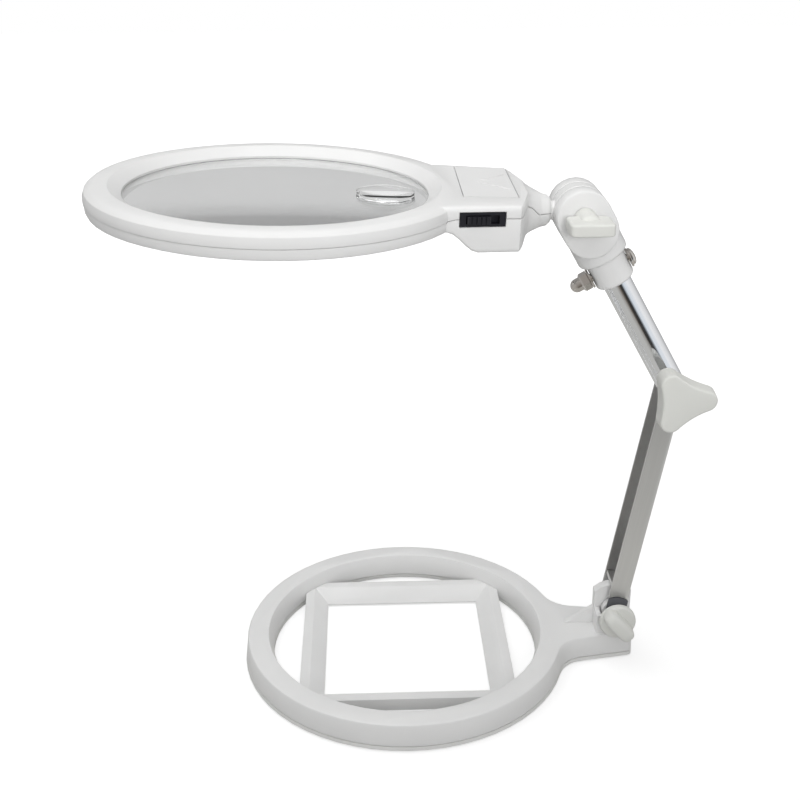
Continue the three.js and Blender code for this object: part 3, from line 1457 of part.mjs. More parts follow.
function mainLens() {
  const lens = revolve(lensProfile(LENS_RADIUS, LENS_EDGE, LENS_BULGE), RING_SIDES);
  const across = LENS_EDGE + LENS_BULGE + OVERRUN;
  const hole = rod(INSERT_LENS_RADIUS + SEAT_GAP, -across, across, DISC_SIDES);
  return cut(lens, hole.translate(INSERT_LENS_OFFSET, 0, 0));
}

function insertLens() {
  return revolve(lensProfile(INSERT_LENS_RADIUS, INSERT_LENS_EDGE, INSERT_LENS_BULGE), DISC_SIDES);
}

function battery() {
  const half = BATTERY_LENGTH / 2;
  return alongY(revolve([
    at(0, -half),
    at(BATTERY_RADIUS, -half),
    at(BATTERY_RADIUS, half),
    at(BATTERY_NUB_RADIUS, half),
    at(BATTERY_NUB_RADIUS, half + BATTERY_NUB_LENGTH),
    at(0, half + BATTERY_NUB_LENGTH),
  ], ROD_SIDES));
}

function contactPlate(side) {
  const inside = batteryMiddle + side * contactNear;
  const faces = [inside, inside + side * CONTACT_THICKNESS];
  const low = batteryHeight - CONTACT_HEIGHT / 2;
  const high = low + CONTACT_HEIGHT;
  return block([contactLeft, Math.min(...faces), low], [contactRight, Math.max(...faces), high]);
}

function switchBody() {
  const plateInside = SWITCH_PLATE - SWITCH_PROUD;
  const face = onWall(SWITCH_LENGTH, SWITCH_HEIGHT, SWITCH_PROUD, plateInside);
  const body = onWall(SWITCH_BODY_LENGTH, SWITCH_BODY_HEIGHT, 0, SWITCH_BODY_DEPTH - SEAT_GAP);
  const slotLength = SLIDER_LENGTH + SLIDER_TRAVEL + 2 * SEAT_GAP;
  const slot = onWall(slotLength, SLIDER_HEIGHT + 2 * SEAT_GAP, OVERRUN, SLIDER_FOOT + SEAT_GAP);
  return cut(join(face, body), slot);
}

// A thumb piece with grip teeth, its foot in the slot
function switchSlider() {
  const pitch = SLIDER_LENGTH / SLIDER_TEETH;
  const crest = -SWITCH_PROUD - SLIDER_STAND;
  const outline = [at(SLIDER_LENGTH / 2, SLIDER_FOOT), at(-SLIDER_LENGTH / 2, SLIDER_FOOT)];
  for (let i = 0; i < SLIDER_TEETH; i += 1) {
    const left = pitch * i - SLIDER_LENGTH / 2;
    outline.push(at(left, crest + SLIDER_TOOTH));
    outline.push(at(left + pitch * SLIDER_RISE_SHARE, crest));
    outline.push(at(left + pitch - pitch * SLIDER_RISE_SHARE, crest));
  }
  outline.push(at(SLIDER_LENGTH / 2, crest + SLIDER_TOOTH));
  return prism(outline, -SLIDER_HEIGHT / 2, SLIDER_HEIGHT / 2);
}

const boardLow = ringParting - SEAT_GAP / 2;

// A lamp with a domed end, shining down
function lamp() {
  const tip = headBottom - LED_PROUD;
  return revolve([
    at(0, tip),
    at(LED_RADIUS / 2, tip),
    at(LED_RADIUS, tip + LED_PROUD),
    at(LED_RADIUS, boardLow - SEAT_GAP),
    at(0, boardLow - SEAT_GAP),
  ], ROD_SIDES);
}

function lampBoard() {
  const half = BOARD_WIDTH / 2;
  const low = [LED_OFFSET - half, -BOARD_LENGTH / 2, boardLow];
  return block(low, [LED_OFFSET + half, BOARD_LENGTH / 2, boardLow + BOARD_THICKNESS]);
}

add(lensFrame, 'lens_frame_upper', upperShell(), WHITE);
add(lensFrame, 'lens_frame_lower', lowerShell(), WHITE);
add(lensFrame, 'main_lens', mainLens(), CLEAR).position.z = ringParting;
add(lensFrame, 'insert_lens', insertLens(), CLEAR).position.set(INSERT_LENS_OFFSET, 0, ringParting);
add(lensFrame, 'battery_cover', batteryCover(), WHITE);
for (let i = 0; i < BATTERY_COUNT; i += 1) {
  const cell = add(lensFrame, `battery_${i + 1}`, battery(), CELL);
  cell.position.set(lastBattery - (BATTERY_COUNT - 1 - i) * batteryPitch, batteryMiddle, batteryHeight);
  cell.rotation.z = Math.PI * i;
}
add(lensFrame, 'battery_contact_near', contactPlate(-1), STEEL);
add(lensFrame, 'battery_contact_far', contactPlate(1), STEEL);
const switchMount = new THREE.Group();
switchMount.position.copy(switchPlace);
switchMount.rotation.z = switchAngle;
lensFrame.add(switchMount);
add(switchMount, 'switch_body', switchBody(), BLACK);
add(switchMount, 'switch_slider', switchSlider(), BLACK).position.x = -SLIDER_TRAVEL / 2;
ledPlaces().forEach((place, i) => {
  add(lensFrame, `led_${i + 1}`, lamp(), LAMP).position.set(place.x, place.y, 0);
});
add(lensFrame, 'led_board', lampBoard(), BOARD);

export default model;
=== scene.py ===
import math

import bmesh
import bpy
from mathutils import Matrix, Vector


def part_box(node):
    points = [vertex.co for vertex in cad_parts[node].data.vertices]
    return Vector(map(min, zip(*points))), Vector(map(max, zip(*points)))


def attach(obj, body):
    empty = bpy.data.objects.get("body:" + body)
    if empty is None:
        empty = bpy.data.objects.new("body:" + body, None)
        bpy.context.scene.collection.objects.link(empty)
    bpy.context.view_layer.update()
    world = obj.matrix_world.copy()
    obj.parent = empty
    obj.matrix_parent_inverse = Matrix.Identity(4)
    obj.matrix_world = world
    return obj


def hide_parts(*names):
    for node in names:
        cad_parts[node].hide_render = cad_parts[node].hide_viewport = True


# Looks of the stand magnifier, in metres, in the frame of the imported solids.
# +X runs towards the hinge, +Y away from the viewer, and the origin is on the table under the hinge.

# Units and angles
MM = 0.001
DEGREE = math.pi / 180
TURN = 2 * math.pi

# Camera of the photograph
CAMERA_PLACE = Vector((-118.9, -492.2, 345.9)) * MM
CAMERA_PITCH = 23.17 * DEGREE
CAMERA_YAW = 1.67 * DEGREE
CAMERA_ROLL = 0.41 * DEGREE
CAMERA_LENS = 52.68
SENSOR_WIDTH = 36
CAMERA_NEAR = 0.01
CAMERA_FAR = 20

# Studio, with places in metres and lamp powers in watts
FLOOR_HALF = 3
FLOOR_DROP = 0.2 * MM
KEY_SIZE = 0.9
KEY_PLACE = Vector((-0.3, 0.1, 1.1))
KEY_POWER = 4.95
FILL_SIZE = 0.7
FILL_PLACE = Vector((-0.05, -1.0, 0.75))
FILL_POWER = 2.1
LIGHT_TARGET = Vector((-0.1, 0, 0.12))
SPOT_PLACE = Vector((-0.02, -1.2, 0.5))
SPOT_TARGET = Vector((-0.06, 0, 0.225))
SPOT_RADIUS = 0.12
SPOT_CONE = 24 * DEGREE
SPOT_BLEND = 0.8
SPOT_POWER = 20
PURE_WHITE = (1, 1, 1, 1)
SKY_FILL = (0.5, 0.5, 0.5, 1)

# Floor: its own white grows from near to far, and mirrors see a tone that fades into the room
FLOOR_TONE = (0.5, 0.5, 0.5, 1)
FLOOR_ROUGHNESS = 0.9
FLOOR_CENTRE = Vector((-0.08, 0, 0))
FLOOR_NEAR = 0.22
FLOOR_FAR = 0.75
FLOOR_LIFT_NEAR = 0.62
FLOOR_LIFT_FAR = 1
FLOOR_GLASS_SHARE = 0.32
FLOOR_MIRRORED = (0.57, 0.565, 0.54, 1)
MIRRORED_CENTRE = Vector((0, 0, 0))
MIRRORED_NEAR = 0.28
MIRRORED_FAR = 0.42

# What mirrors see round the object: degrees from the viewer towards +X, brightness and warmth
ROOM_TONES = (
    (-180, 0.38, 0), (-76, 0.6, 0.01), (-36, 0.52, 0.03), (-14, 0.41, 0.04), (-2, 0.3, 0.08),
    (7, 0.15, 0.16), (13, 0.04, 0.08), (21, 0.04, 0), (27, 0.42, -0.06), (34, 0.76, -0.08),
    (48, 0.9, -0.04), (70, 1, 0), (103, 0.84, 0), (140, 0.46, 0), (180, 0.38, 0),
)

# Stops that a new colour ramp starts with
FIRST_STOPS = 2

# Places on the object
HEAD_PIVOT = Vector((-26.81, 0, 222.148)) * MM
HEAD_TILT = 1.98 * DEGREE
HEAD_ROLL = 1.01 * DEGREE
HEAD_REACH = 129.6 * MM
HEAD_TOP = 10.4 * MM
LENS_HEIGHT = 4.2 * MM
LOWER_LEAN = 9.41 * DEGREE
HEAD_PLACE = (
    Matrix.Translation(HEAD_PIVOT)
    @ Matrix.Rotation(HEAD_TILT, 4, "Y")
    @ Matrix.Rotation(HEAD_ROLL, 4, "X")
    @ Matrix.Translation((-HEAD_REACH, 0, 0))
)

# Lens. A fuller bulge traps light inside at the photograph's low angle, and shows as a black band.
LENS_RADIUS = 65.6 * MM
LENS_EDGE = 2.4 * MM
LENS_BULGE = 0.5 * MM
INSERT_RADIUS = 12.4 * MM
INSERT_OFFSET = 46 * MM
INSERT_EDGE = 5.2 * MM
INSERT_BULGE = 1.6 * MM
LENS_SPOKES = 120
LENS_RINGS = 28
INSERT_RINGS = 10

# Lamps
LAMP_RADIUS = 2.3 * MM
LAMP_SPREAD = 11 * MM
LAMP_OFFSET = 71 * MM
LAMP_LOW = -3 * MM
LAMP_HIGH = 3.7 * MM
LAMP_DOME = 0.92 * MM
LAMP_STEPS = 6

# Grip on the battery cover
GRIP_APEX = Vector((85.3, 6.2, 0)) * MM
GRIP_REAR = 98 * MM
GRIP_HALF = 12.5 * MM
RIDGE_WIDTH = 0.7 * MM
RIDGE_HEIGHT = 0.22 * MM
RIDGE_TIP_SHARE = 0.2
RIDGE_STEPS = 8

# Joints of the arms
BASE_PIVOT = Vector((0, 0, 22.4)) * MM
ELBOW_PIVOT = Vector((19.636, 0, 140.884)) * MM
ARM_AXIS = (HEAD_PIVOT - ELBOW_PIVOT).normalized()
COLLAR_AXIS = Vector((ARM_AXIS.z, 0, -ARM_AXIS.x))
COLLAR_REACH = 64 * MM
COLLAR_PLACE = ELBOW_PIVOT + ARM_AXIS * COLLAR_REACH

# Elbow knob, with heights measured from the hinge's middle towards the viewer
ELBOW_TIP = 15.9 * MM
ELBOW_FACE_TIP = 15.3 * MM
ELBOW_LOBE = 4.8 * MM
ELBOW_WAIST = 9.6 * MM
ELBOW_BOSS = 7 * MM
ELBOW_SEAT = 9.6 * MM
ELBOW_BOSS_FACE = 12 * MM
ELBOW_BACK = 14.2 * MM
ELBOW_FACE = 24 * MM
ELBOW_ROUND = 1.3 * MM
ELBOW_TURN = 3.5 * DEGREE
LOBES = 3
LOBE_STEPS = 10

# Wing knobs, measured the same way
BASE_NECK = 5 * MM
BASE_SEAT = 11.2 * MM
BASE_DISC = 8.8 * MM
BASE_DISC_BACK = 13.8 * MM
BASE_DISC_FACE = 16.6 * MM
BASE_DISC_ROUND = 1.2 * MM
BASE_DISC_CROWN = 0.5 * MM
BASE_SIDES = 72
BASE_WING = Vector((9, 3.9, 5.4)) * MM
BASE_WING_HEIGHT = 18.6 * MM
BASE_WING_SQUARENESS = 0.62
BASE_TURN = -48 * DEGREE
HUB_RADIUS = 4.8 * MM
HUB_SEAT = 14.3 * MM
HUB_DOME = 3 * MM
HUB_FACE = 28.6 * MM
HUB_CROWN = 0.3 * MM
HEAD_WING = Vector((9.3, 2.8, 8.1)) * MM
HEAD_WING_HEIGHT = 26.8 * MM
HEAD_WING_SQUARENESS = 0.26

# Collar bolt, with lengths measured from the tube's middle
WASHER_RADIUS = 4.6 * MM
WASHER_SEAT = 9.1 * MM
WASHER_THICKNESS = 0.9 * MM
WASHER_ROUND = 0.3 * MM
NUT_SEAT = 10.1 * MM
NUT_SIDES = 6
NUT_CORNER = 4.3 * MM
NUT_CHAMFER = 0.35 * MM
NUT_HEIGHT = 3.9 * MM
NUT_DOME = 3.1 * MM
NUT_LENGTH = 8.9 * MM
BOLT_HEAD = 3.9 * MM
BOLT_HEAD_RIM = 0.55 * MM
BOLT_HEAD_HEIGHT = 2.2 * MM
BOLT_SHANK = 1.9 * MM
BOLT_STEPS = 8

# Screws in the bottom plate
RING_CENTRE = Vector((-103.1, 0, 0)) * MM
SCREWS = 4
SCREW_CIRCLE = 71.35 * MM
SCREW_FACE = 2 * MM
SCREW_HEAD = 2.5 * MM
SCREW_LOW = 0.15 * MM
SCREW_RIM = 0.35 * MM
SCREW_STEP = 0.6 * MM
SCREW_HIGH = 1.6 * MM
SCREW_SHANK = 1.3 * MM

# Fineness of the made pieces
LATHE_SIDES = 48
SMALL_SIDES = 32
ROUND_STEPS = 5
HUB_STEPS = 10
DOME_STEPS = 12
PILLOW_COLUMNS = 64
PILLOW_LEVELS = 32

# Smoothing and edges
SMOOTH_ANGLE = 32 * DEGREE
WELD = 0.001 * MM
FLAT_ANGLE = 0.4 * DEGREE
ROUND_ANGLE = 34 * DEGREE
ROUND_SEGMENTS = 3
EDGE_ROUND = 0.3 * MM
FINE_EDGE = 0.12 * MM
EDGE_SAMPLES = 4

# Finishes: drift is the slow change of colour, and shades are shares of the full colour.
# Scales of noise are in cycles to the metre, and roughness runs from 0 to 1.
NOISE_LOW = 0.3
NOISE_HIGH = 0.7
NOISE_DETAIL = 2
FINE_DETAIL = 3
PLASTIC_IOR = 1.53
PLASTIC_DRIFT = 35
PLASTIC_SHADE = 0.965
PLASTIC_PATCHES = 240
PATCH_GLOSS = 0.04
PATCH_HAZE = 0.06
GRAIN_SCALE = 2600
GRAIN_STRENGTH = 0.35
GLOSSY_GRAIN = 0.02 * MM
SATIN_GRAIN = 0.03 * MM
RUBBER_GRAIN = 0.06 * MM
METAL_DRIFT = 60
METAL_SHADE = 0.95
METAL_HAZE = 420
HAZE_LOW = 0.7
HAZE_HIGH = 1.5
RIPPLE_SCALE = 900
RIPPLE_DEPTH = 0.002 * MM
RIPPLE_STRENGTH = 0.06
MARK_STRETCH = 0.02
MARK_SCALE = 2200
MARK_GAIN = 0.65
MARK_BASE = 0.17
MARK_DEPTH = 0.01 * MM
MARK_STRENGTH = 0.3
BAND_SCALE = 26
BRUSHED_ROUGHNESS = (0.34, 0.44)
ACRYLIC_IOR = 1.49
ACRYLIC_DRIFT = 18
ACRYLIC_HAZE = 300
ACRYLIC_ROUGHNESS = (0, 0.02)
EPOXY_DRIFT = 500
EPOXY_ROUGHNESS = 0.12
EPOXY_CLEAR = 0.5
CELL_SHEEN = 0.5
CELL_SCUFFS = 380
CELL_ROUGHNESS = (0.25, 0.4)

# A cell's length from its low end, where each band starts, and the band's colour
CELL_STEEL = (0.5, 0.5, 0.48, 1)
CELL_SLEEVE = (0.02, 0.022, 0.026, 1)
CELL_COPPER = (0.42, 0.2, 0.09, 1)
CELL_BANDS = ((0, CELL_STEEL), (0.03, CELL_SLEEVE), (0.68, CELL_COPPER), (0.955, CELL_STEEL))


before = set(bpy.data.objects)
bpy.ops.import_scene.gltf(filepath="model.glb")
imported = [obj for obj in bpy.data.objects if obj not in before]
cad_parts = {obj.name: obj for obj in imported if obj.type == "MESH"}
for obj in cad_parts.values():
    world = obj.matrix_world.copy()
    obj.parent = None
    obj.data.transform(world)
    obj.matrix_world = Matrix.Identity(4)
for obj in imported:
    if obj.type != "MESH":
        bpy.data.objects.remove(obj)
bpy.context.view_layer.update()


# Materials


def new_material(name):
    look = bpy.data.materials.new(name)
    look.use_nodes = True
    nodes = look.node_tree.nodes
    return look, nodes, look.node_tree.links, nodes["Principled BSDF"]


def feed(links, socket, value):
    """Links an output to a socket, or sets the socket to a constant"""
    if isinstance(value, bpy.types.NodeSocket):
        links.new(value, socket)
    else:
        socket.default_value = value


def worked_out(nodes, links, operation, *values, clamp=False):
    """One step of arithmetic on outputs and constants"""
    node = nodes.new("ShaderNodeMath")
    node.operation = operation
    node.use_clamp = clamp
    for socket, value in zip(node.inputs, values):
        feed(links, socket, value)
    return node.outputs[0]


def remapped(nodes, links, value, start, end, low=0, high=1):
    """A value from start to end, brought to low to high"""
    node = nodes.new("ShaderNodeMapRange")
    limits = {"From Min": start, "From Max": end, "To Min": low, "To Max": high}
    for name, limit in limits.items():
        node.inputs[name].default_value = limit
    links.new(value, node.inputs["Value"])
    return node.outputs["Result"]


def mixed(nodes, links, fac, first, second):
    """A mix of two colours, each an output or a constant"""
    node = nodes.new("ShaderNodeMix")
    node.data_type = "RGBA"
    feed(links, node.inputs["A"], first)
    feed(links, node.inputs["B"], second)
    links.new(fac, node.inputs["Factor"])
    return node.outputs["Result"]


def blend_colour(nodes, links, fac, first, second):
    return mixed(nodes, links, fac, (*first, 1), (*second, 1))


def noise(nodes, links, source, scale, detail=NOISE_DETAIL):
    node = nodes.new("ShaderNodeTexNoise")
    node.inputs["Scale"].default_value = scale
    node.inputs["Detail"].default_value = detail
    links.new(source, node.inputs["Vector"])
    return node.outputs["Fac"]


def spread(nodes, links, fac, low=0, high=1):
    """Noise, brought from the range that it mostly keeps to"""
    return remapped(nodes, links, fac, NOISE_LOW, NOISE_HIGH, low, high)


def object_space(nodes):
    return nodes.new("ShaderNodeTexCoord").outputs["Object"]


def relief(nodes, links, height, depth, strength, edge):
    """Fine surface relief over edges that are rounded for the light"""
    bump = nodes.new("ShaderNodeBump")
    bump.inputs["Strength"].default_value = strength
    bump.inputs["Distance"].default_value = depth
    links.new(height, bump.inputs["Height"])
    if edge:
        bevel = nodes.new("ShaderNodeBevel")
        bevel.samples = EDGE_SAMPLES
        bevel.inputs["Radius"].default_value = edge
        links.new(bevel.outputs["Normal"], bump.inputs["Normal"])
    return bump.outputs["Normal"]


def plastic(name, colour, roughness, grain, edge=EDGE_ROUND):
    look, nodes, links, shader = new_material(name)
    space = object_space(nodes)
    drift = spread(nodes, links, noise(nodes, links, space, PLASTIC_DRIFT))
    darker = [value * PLASTIC_SHADE for value in colour]
    links.new(blend_colour(nodes, links, drift, darker, colour), shader.inputs["Base Color"])
    patches = noise(nodes, links, space, PLASTIC_PATCHES, FINE_DETAIL)
    gloss = spread(nodes, links, patches, roughness - PATCH_GLOSS, roughness + PATCH_HAZE)
    links.new(gloss, shader.inputs["Roughness"])
    fine = noise(nodes, links, space, GRAIN_SCALE)
    links.new(relief(nodes, links, fine, grain, GRAIN_STRENGTH, edge), shader.inputs["Normal"])
    shader.inputs["IOR"].default_value = PLASTIC_IOR
    return look


def white_plastic():
    return plastic("white_plastic", (0.80, 0.80, 0.795), 0.32, GLOSSY_GRAIN)


def satin_plastic():
    return plastic("satin_plastic", (0.78, 0.78, 0.765), 0.42, SATIN_GRAIN)


def ivory_plastic():
    return plastic("ivory_plastic", (0.73, 0.735, 0.70), 0.44, SATIN_GRAIN)


def black_plastic():
    return plastic("black_plastic", (0.013, 0.013, 0.018), 0.36, GLOSSY_GRAIN, FINE_EDGE)


# Dark grey pads in the channel's recesses: partly a real pad's colour, partly painted shade that the
# base knob's disc throws on the cheek
def pad_and_painted_shade_plastic():
    return plastic("pad_and_painted_shade_plastic", (0.115, 0.12, 0.13), 0.45, SATIN_GRAIN, FINE_EDGE)


def rubber():
    return plastic("rubber", (0.02, 0.02, 0.02), 0.82, RUBBER_GRAIN, FINE_EDGE)


def polished_metal(name, colour, roughness, edge=FINE_EDGE):
    look, nodes, links, shader = new_material(name)
    space = object_space(nodes)
    drift = spread(nodes, links, noise(nodes, links, space, METAL_DRIFT))
    darker = [value * METAL_SHADE for value in colour]
    links.new(blend_colour(nodes, links, drift, darker, colour), shader.inputs["Base Color"])
    haze = noise(nodes, links, space, METAL_HAZE, FINE_DETAIL)
    gloss = spread(nodes, links, haze, roughness * HAZE_LOW, roughness * HAZE_HIGH)
    links.new(gloss, shader.inputs["Roughness"])
    fine = noise(nodes, links, space, RIPPLE_SCALE)
    ripples = relief(nodes, links, fine, RIPPLE_DEPTH, RIPPLE_STRENGTH, edge)
    links.new(ripples, shader.inputs["Normal"])
    shader.inputs["Metallic"].default_value = 1
    return look


def chrome():
    return polished_metal("chrome", (0.80, 0.81, 0.83), 0.09, 0)


def plated_steel():
    return polished_metal("plated_steel", (0.60, 0.57, 0.54), 0.14)


def spring_steel():
    return polished_metal("spring_steel", (0.6, 0.6, 0.58), 0.22)


def brushed_steel(lean):
    """Sheet steel with fine marks drawn along the arm"""
    look, nodes, links, shader = new_material("brushed_steel")
    turned = nodes.new("ShaderNodeMapping")
    turned.inputs["Rotation"].default_value = (0, -lean, 0)
    links.new(object_space(nodes), turned.inputs["Vector"])
    drawn = nodes.new("ShaderNodeMapping")
    drawn.inputs["Scale"].default_value = (1, 1, MARK_STRETCH)
    links.new(turned.outputs["Vector"], drawn.inputs["Vector"])
    marks = noise(nodes, links, drawn.outputs["Vector"], MARK_SCALE, FINE_DETAIL)
    bands = noise(nodes, links, turned.outputs["Vector"], BAND_SCALE)
    tone = worked_out(nodes, links, "MULTIPLY_ADD", marks, MARK_GAIN, MARK_BASE)
    colour = blend_colour(nodes, links, tone, (0.69, 0.69, 0.685), (0.81, 0.81, 0.805))
    links.new(colour, shader.inputs["Base Color"])
    links.new(spread(nodes, links, bands, *BRUSHED_ROUGHNESS), shader.inputs["Roughness"])
    grooves = relief(nodes, links, marks, MARK_DEPTH, MARK_STRENGTH, FINE_EDGE)
    links.new(grooves, shader.inputs["Normal"])
    shader.inputs["Metallic"].default_value = 1
    return look


def clear_acrylic():
    look, nodes, links, shader = new_material("clear_acrylic")
    space = object_space(nodes)
    drift = spread(nodes, links, noise(nodes, links, space, ACRYLIC_DRIFT))
    tint = blend_colour(nodes, links, drift, (0.90, 0.905, 0.905), (0.93, 0.935, 0.935))
    links.new(tint, shader.inputs["Base Color"])
    haze = spread(nodes, links, noise(nodes, links, space, ACRYLIC_HAZE), *ACRYLIC_ROUGHNESS)
    links.new(haze, shader.inputs["Roughness"])
    shader.inputs["Transmission Weight"].default_value = 1
    shader.inputs["IOR"].default_value = ACRYLIC_IOR
    return look


def lamp_epoxy():
    """Half clear epoxy with the warm tint of a white lamp's phosphor"""
    look, nodes, links, shader = new_material("lamp_epoxy")
    drift = spread(nodes, links, noise(nodes, links, object_space(nodes), EPOXY_DRIFT))
    tint = blend_colour(nodes, links, drift, (0.9, 0.86, 0.55), (0.95, 0.93, 0.75))
    links.new(tint, shader.inputs["Base Color"])
    shader.inputs["Roughness"].default_value = EPOXY_ROUGHNESS
    shader.inputs["Transmission Weight"].default_value = EPOXY_CLEAR
    return look


def circuit_board():
    return plastic("circuit_board", (0.03, 0.12, 0.05), 0.45, GLOSSY_GRAIN, FINE_EDGE)


def cell_wrap(name, low, high):
    """A plain wrapped cell: a coppery end band over a dark sleeve, and steel ends"""
    look, nodes, links, shader = new_material(name)
    space = object_space(nodes)
    axis = nodes.new("ShaderNodeSeparateXYZ")
    links.new(space, axis.inputs["Vector"])
    bands = nodes.new("ShaderNodeValToRGB")
    bands.color_ramp.interpolation = "CONSTANT"
    stops = bands.color_ramp.elements
    for number, (position, colour) in enumerate(CELL_BANDS):
        stop = stops[number] if number < FIRST_STOPS else stops.new(position)
        stop.position, stop.color = position, colour
    links.new(remapped(nodes, links, axis.outputs["Y"], low, high), bands.inputs["Fac"])
    links.new(bands.outputs["Color"], shader.inputs["Base Color"])
    scuffs = noise(nodes, links, space, CELL_SCUFFS, FINE_DETAIL)
    links.new(spread(nodes, links, scuffs, *CELL_ROUGHNESS), shader.inputs["Roughness"])
    shader.inputs["Metallic"].default_value = CELL_SHEEN
    return look


WHITE = white_plastic()
SATIN = satin_plastic()
IVORY = ivory_plastic()
BLACK = black_plastic()
RUBBER = rubber()
PAD_AND_PAINTED_SHADE = pad_and_painted_shade_plastic()
CHROME = chrome()
PLATED = plated_steel()
SPRING = spring_steel()
STEEL = brushed_steel(LOWER_LEAN)
CLEAR = clear_acrylic()
EPOXY = lamp_epoxy()
BOARD = circuit_board()

NODE_LOOKS = {
    "base_frame": WHITE,
    "base_bottom_plate": SATIN,
    "base_insert_frame": WHITE,
    "foot_tail": RUBBER,
    "foot_ring_1": RUBBER,
    "foot_ring_2": RUBBER,
    "foot_ring_3": RUBBER,
    "hinge_bolt": PLATED,
    "lower_arm_channel": STEEL,
    "channel_plug": STEEL,
    "hinge_bush": WHITE,
    "hinge_bush_near": WHITE,
    # The pads' dark grey is partly painted shade of the base knob's disc
    "friction_pad_near": PAD_AND_PAINTED_SHADE,
    "friction_pad_far": PAD_AND_PAINTED_SHADE,
    "elbow_bolt": PLATED,
    "elbow_washer": PLATED,
    "upper_arm_tube": CHROME,
    "tube_end_plug": BLACK,
    "clamp_bracket": WHITE,
    "head_bolt": PLATED,
    "head_stud": WHITE,
    "lens_frame_upper": WHITE,
    "lens_frame_lower": WHITE,
    "battery_cover": WHITE,
    "battery_contact_near": SPRING,
    "battery_contact_far": SPRING,
    "switch_body": BLACK,
    "switch_slider": BLACK,
    "led_board": BOARD,
}

# Rounding of the moulded pieces' outer edges
SOFT_EDGES = {
    "base_frame": 0.7 * MM,
    "base_insert_frame": 0.4 * MM,
    "lens_frame_upper": 0.9 * MM,
    "lens_frame_lower": 0.9 * MM,
    "clamp_bracket": 0.6 * MM,
}


# Smooth shading for the solids, with their real edges kept


def smooth_rims():
    group = bpy.data.node_groups.new("smooth_rims", "GeometryNodeTree")
    group.interface.new_socket("Geometry", in_out="INPUT", socket_type="NodeSocketGeometry")
    group.interface.new_socket("Geometry", in_out="OUTPUT", socket_type="NodeSocketGeometry")
    nodes, links = group.nodes, group.links
    start = nodes.new("NodeGroupInput")
    end = nodes.new("NodeGroupOutput")
    bare = nodes.new("GeometryNodeRemoveAttribute")
    bare.inputs["Name"].default_value = "custom_normal"
    weld = nodes.new("GeometryNodeMergeByDistance")
    weld.inputs["Distance"].default_value = WELD
    faces = nodes.new("GeometryNodeSetShadeSmooth")
    edges = nodes.new("GeometryNodeSetShadeSmooth")
    edges.domain = "EDGE"
    edges.inputs["Shade Smooth"].default_value = False
    angle = nodes.new("GeometryNodeInputMeshEdgeAngle")
    sharp = nodes.new("FunctionNodeCompare")
    sharp.operation = "GREATER_THAN"
    sharp.inputs["B"].default_value = SMOOTH_ANGLE
    links.new(angle.outputs["Unsigned Angle"], sharp.inputs["A"])
    links.new(sharp.outputs["Result"], edges.inputs["Selection"])
    links.new(start.outputs["Geometry"], bare.inputs["Geometry"])
    links.new(bare.outputs["Geometry"], weld.inputs["Geometry"])
    links.new(weld.outputs["Geometry"], faces.inputs["Geometry"])
    links.new(faces.outputs["Geometry"], edges.inputs["Geometry"])
    links.new(edges.outputs["Geometry"], end.inputs["Geometry"])
    return group


SMOOTHING = smooth_rims()


def smoothed(obj):
    obj.modifiers.new("smooth", "NODES").node_group = SMOOTHING
    return obj


def softened(obj, width):
    """Real rounded edges on a solid's outer corners"""
    merge = obj.modifiers.new("merge", "WELD")
    merge.merge_threshold = WELD
    flat = obj.modifiers.new("flat", "DECIMATE")
    flat.decimate_type = "DISSOLVE"
    flat.angle_limit = FLAT_ANGLE
    rounds = obj.modifiers.new("rounds", "BEVEL")
    rounds.width = width
    rounds.segments = ROUND_SEGMENTS
    rounds.limit_method = "ANGLE"
    rounds.angle_limit = ROUND_ANGLE
    rounds.use_clamp_overlap = True
    return obj


def give_look(obj, look):
    obj.data.materials.clear()
    obj.data.materials.append(look)


def dress_nodes():
    for name, look in NODE_LOOKS.items():
        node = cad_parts[name]
        give_look(node, look)
        if name in SOFT_EDGES:
            softened(node, SOFT_EDGES[name])
        smoothed(node)


# Making pieces


def new_piece(name, mesh, look, body, place=None):
    obj = bpy.data.objects.new(name, mesh)
    bpy.context.scene.collection.objects.link(obj)
    if place is not None:
        mesh.transform(place)
    give_look(obj, look)
    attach(obj, body)
    return obj


def mesh_of(name, points, faces):
    mesh = bpy.data.meshes.new(name)
    mesh.from_pydata([tuple(point) for point in points], [], faces)
    mesh.validate()
    shape = bmesh.new()
    shape.from_mesh(mesh)
    bmesh.ops.remove_doubles(shape, verts=shape.verts, dist=WELD)
    bmesh.ops.recalc_face_normals(shape, faces=shape.faces)
    shape.to_mesh(mesh)
    shape.free()
    mesh.shade_smooth()
    return mesh


def bands_between(levels, count):
    """Faces that join rows of equally many points into closed bands"""
    faces = []
    for level in range(levels - 1):
        for i in range(count):
            near, far = level * count + i, level * count + (i + 1) % count
            faces.append((near, far, far + count, near + count))
    return faces


def lathe(name, profile, sides=LATHE_SIDES):
    """A closed profile of radius and height turned round Z"""
    points = []
    for radius, height in profile:
        for i in range(sides):
            angle = TURN * i / sides
            points.append((radius * math.cos(angle), radius * math.sin(angle), height))
    return mesh_of(name, points, bands_between(len(profile), sides))


def joined(name, meshes, look, body, place):
    """One piece of several closed meshes"""
    shape = bmesh.new()
    for mesh in meshes:
        shape.from_mesh(mesh)
        bpy.data.meshes.remove(mesh)
    mesh = bpy.data.meshes.new(name)
    shape.to_mesh(mesh)
    shape.free()
    mesh.shade_smooth()
    return smoothed(new_piece(name, mesh, look, body, place))


def stacked(name, rows):
    """A closed skin over rows of equally many points, with a flat end on the first and the last"""
    count = len(rows[0])
    points = [point for row in rows for point in row]
    first, last = range(count)[::-1], range(len(points) - count, len(points))
    return mesh_of(name, points, [tuple(first), tuple(last)] + bands_between(len(rows), count))


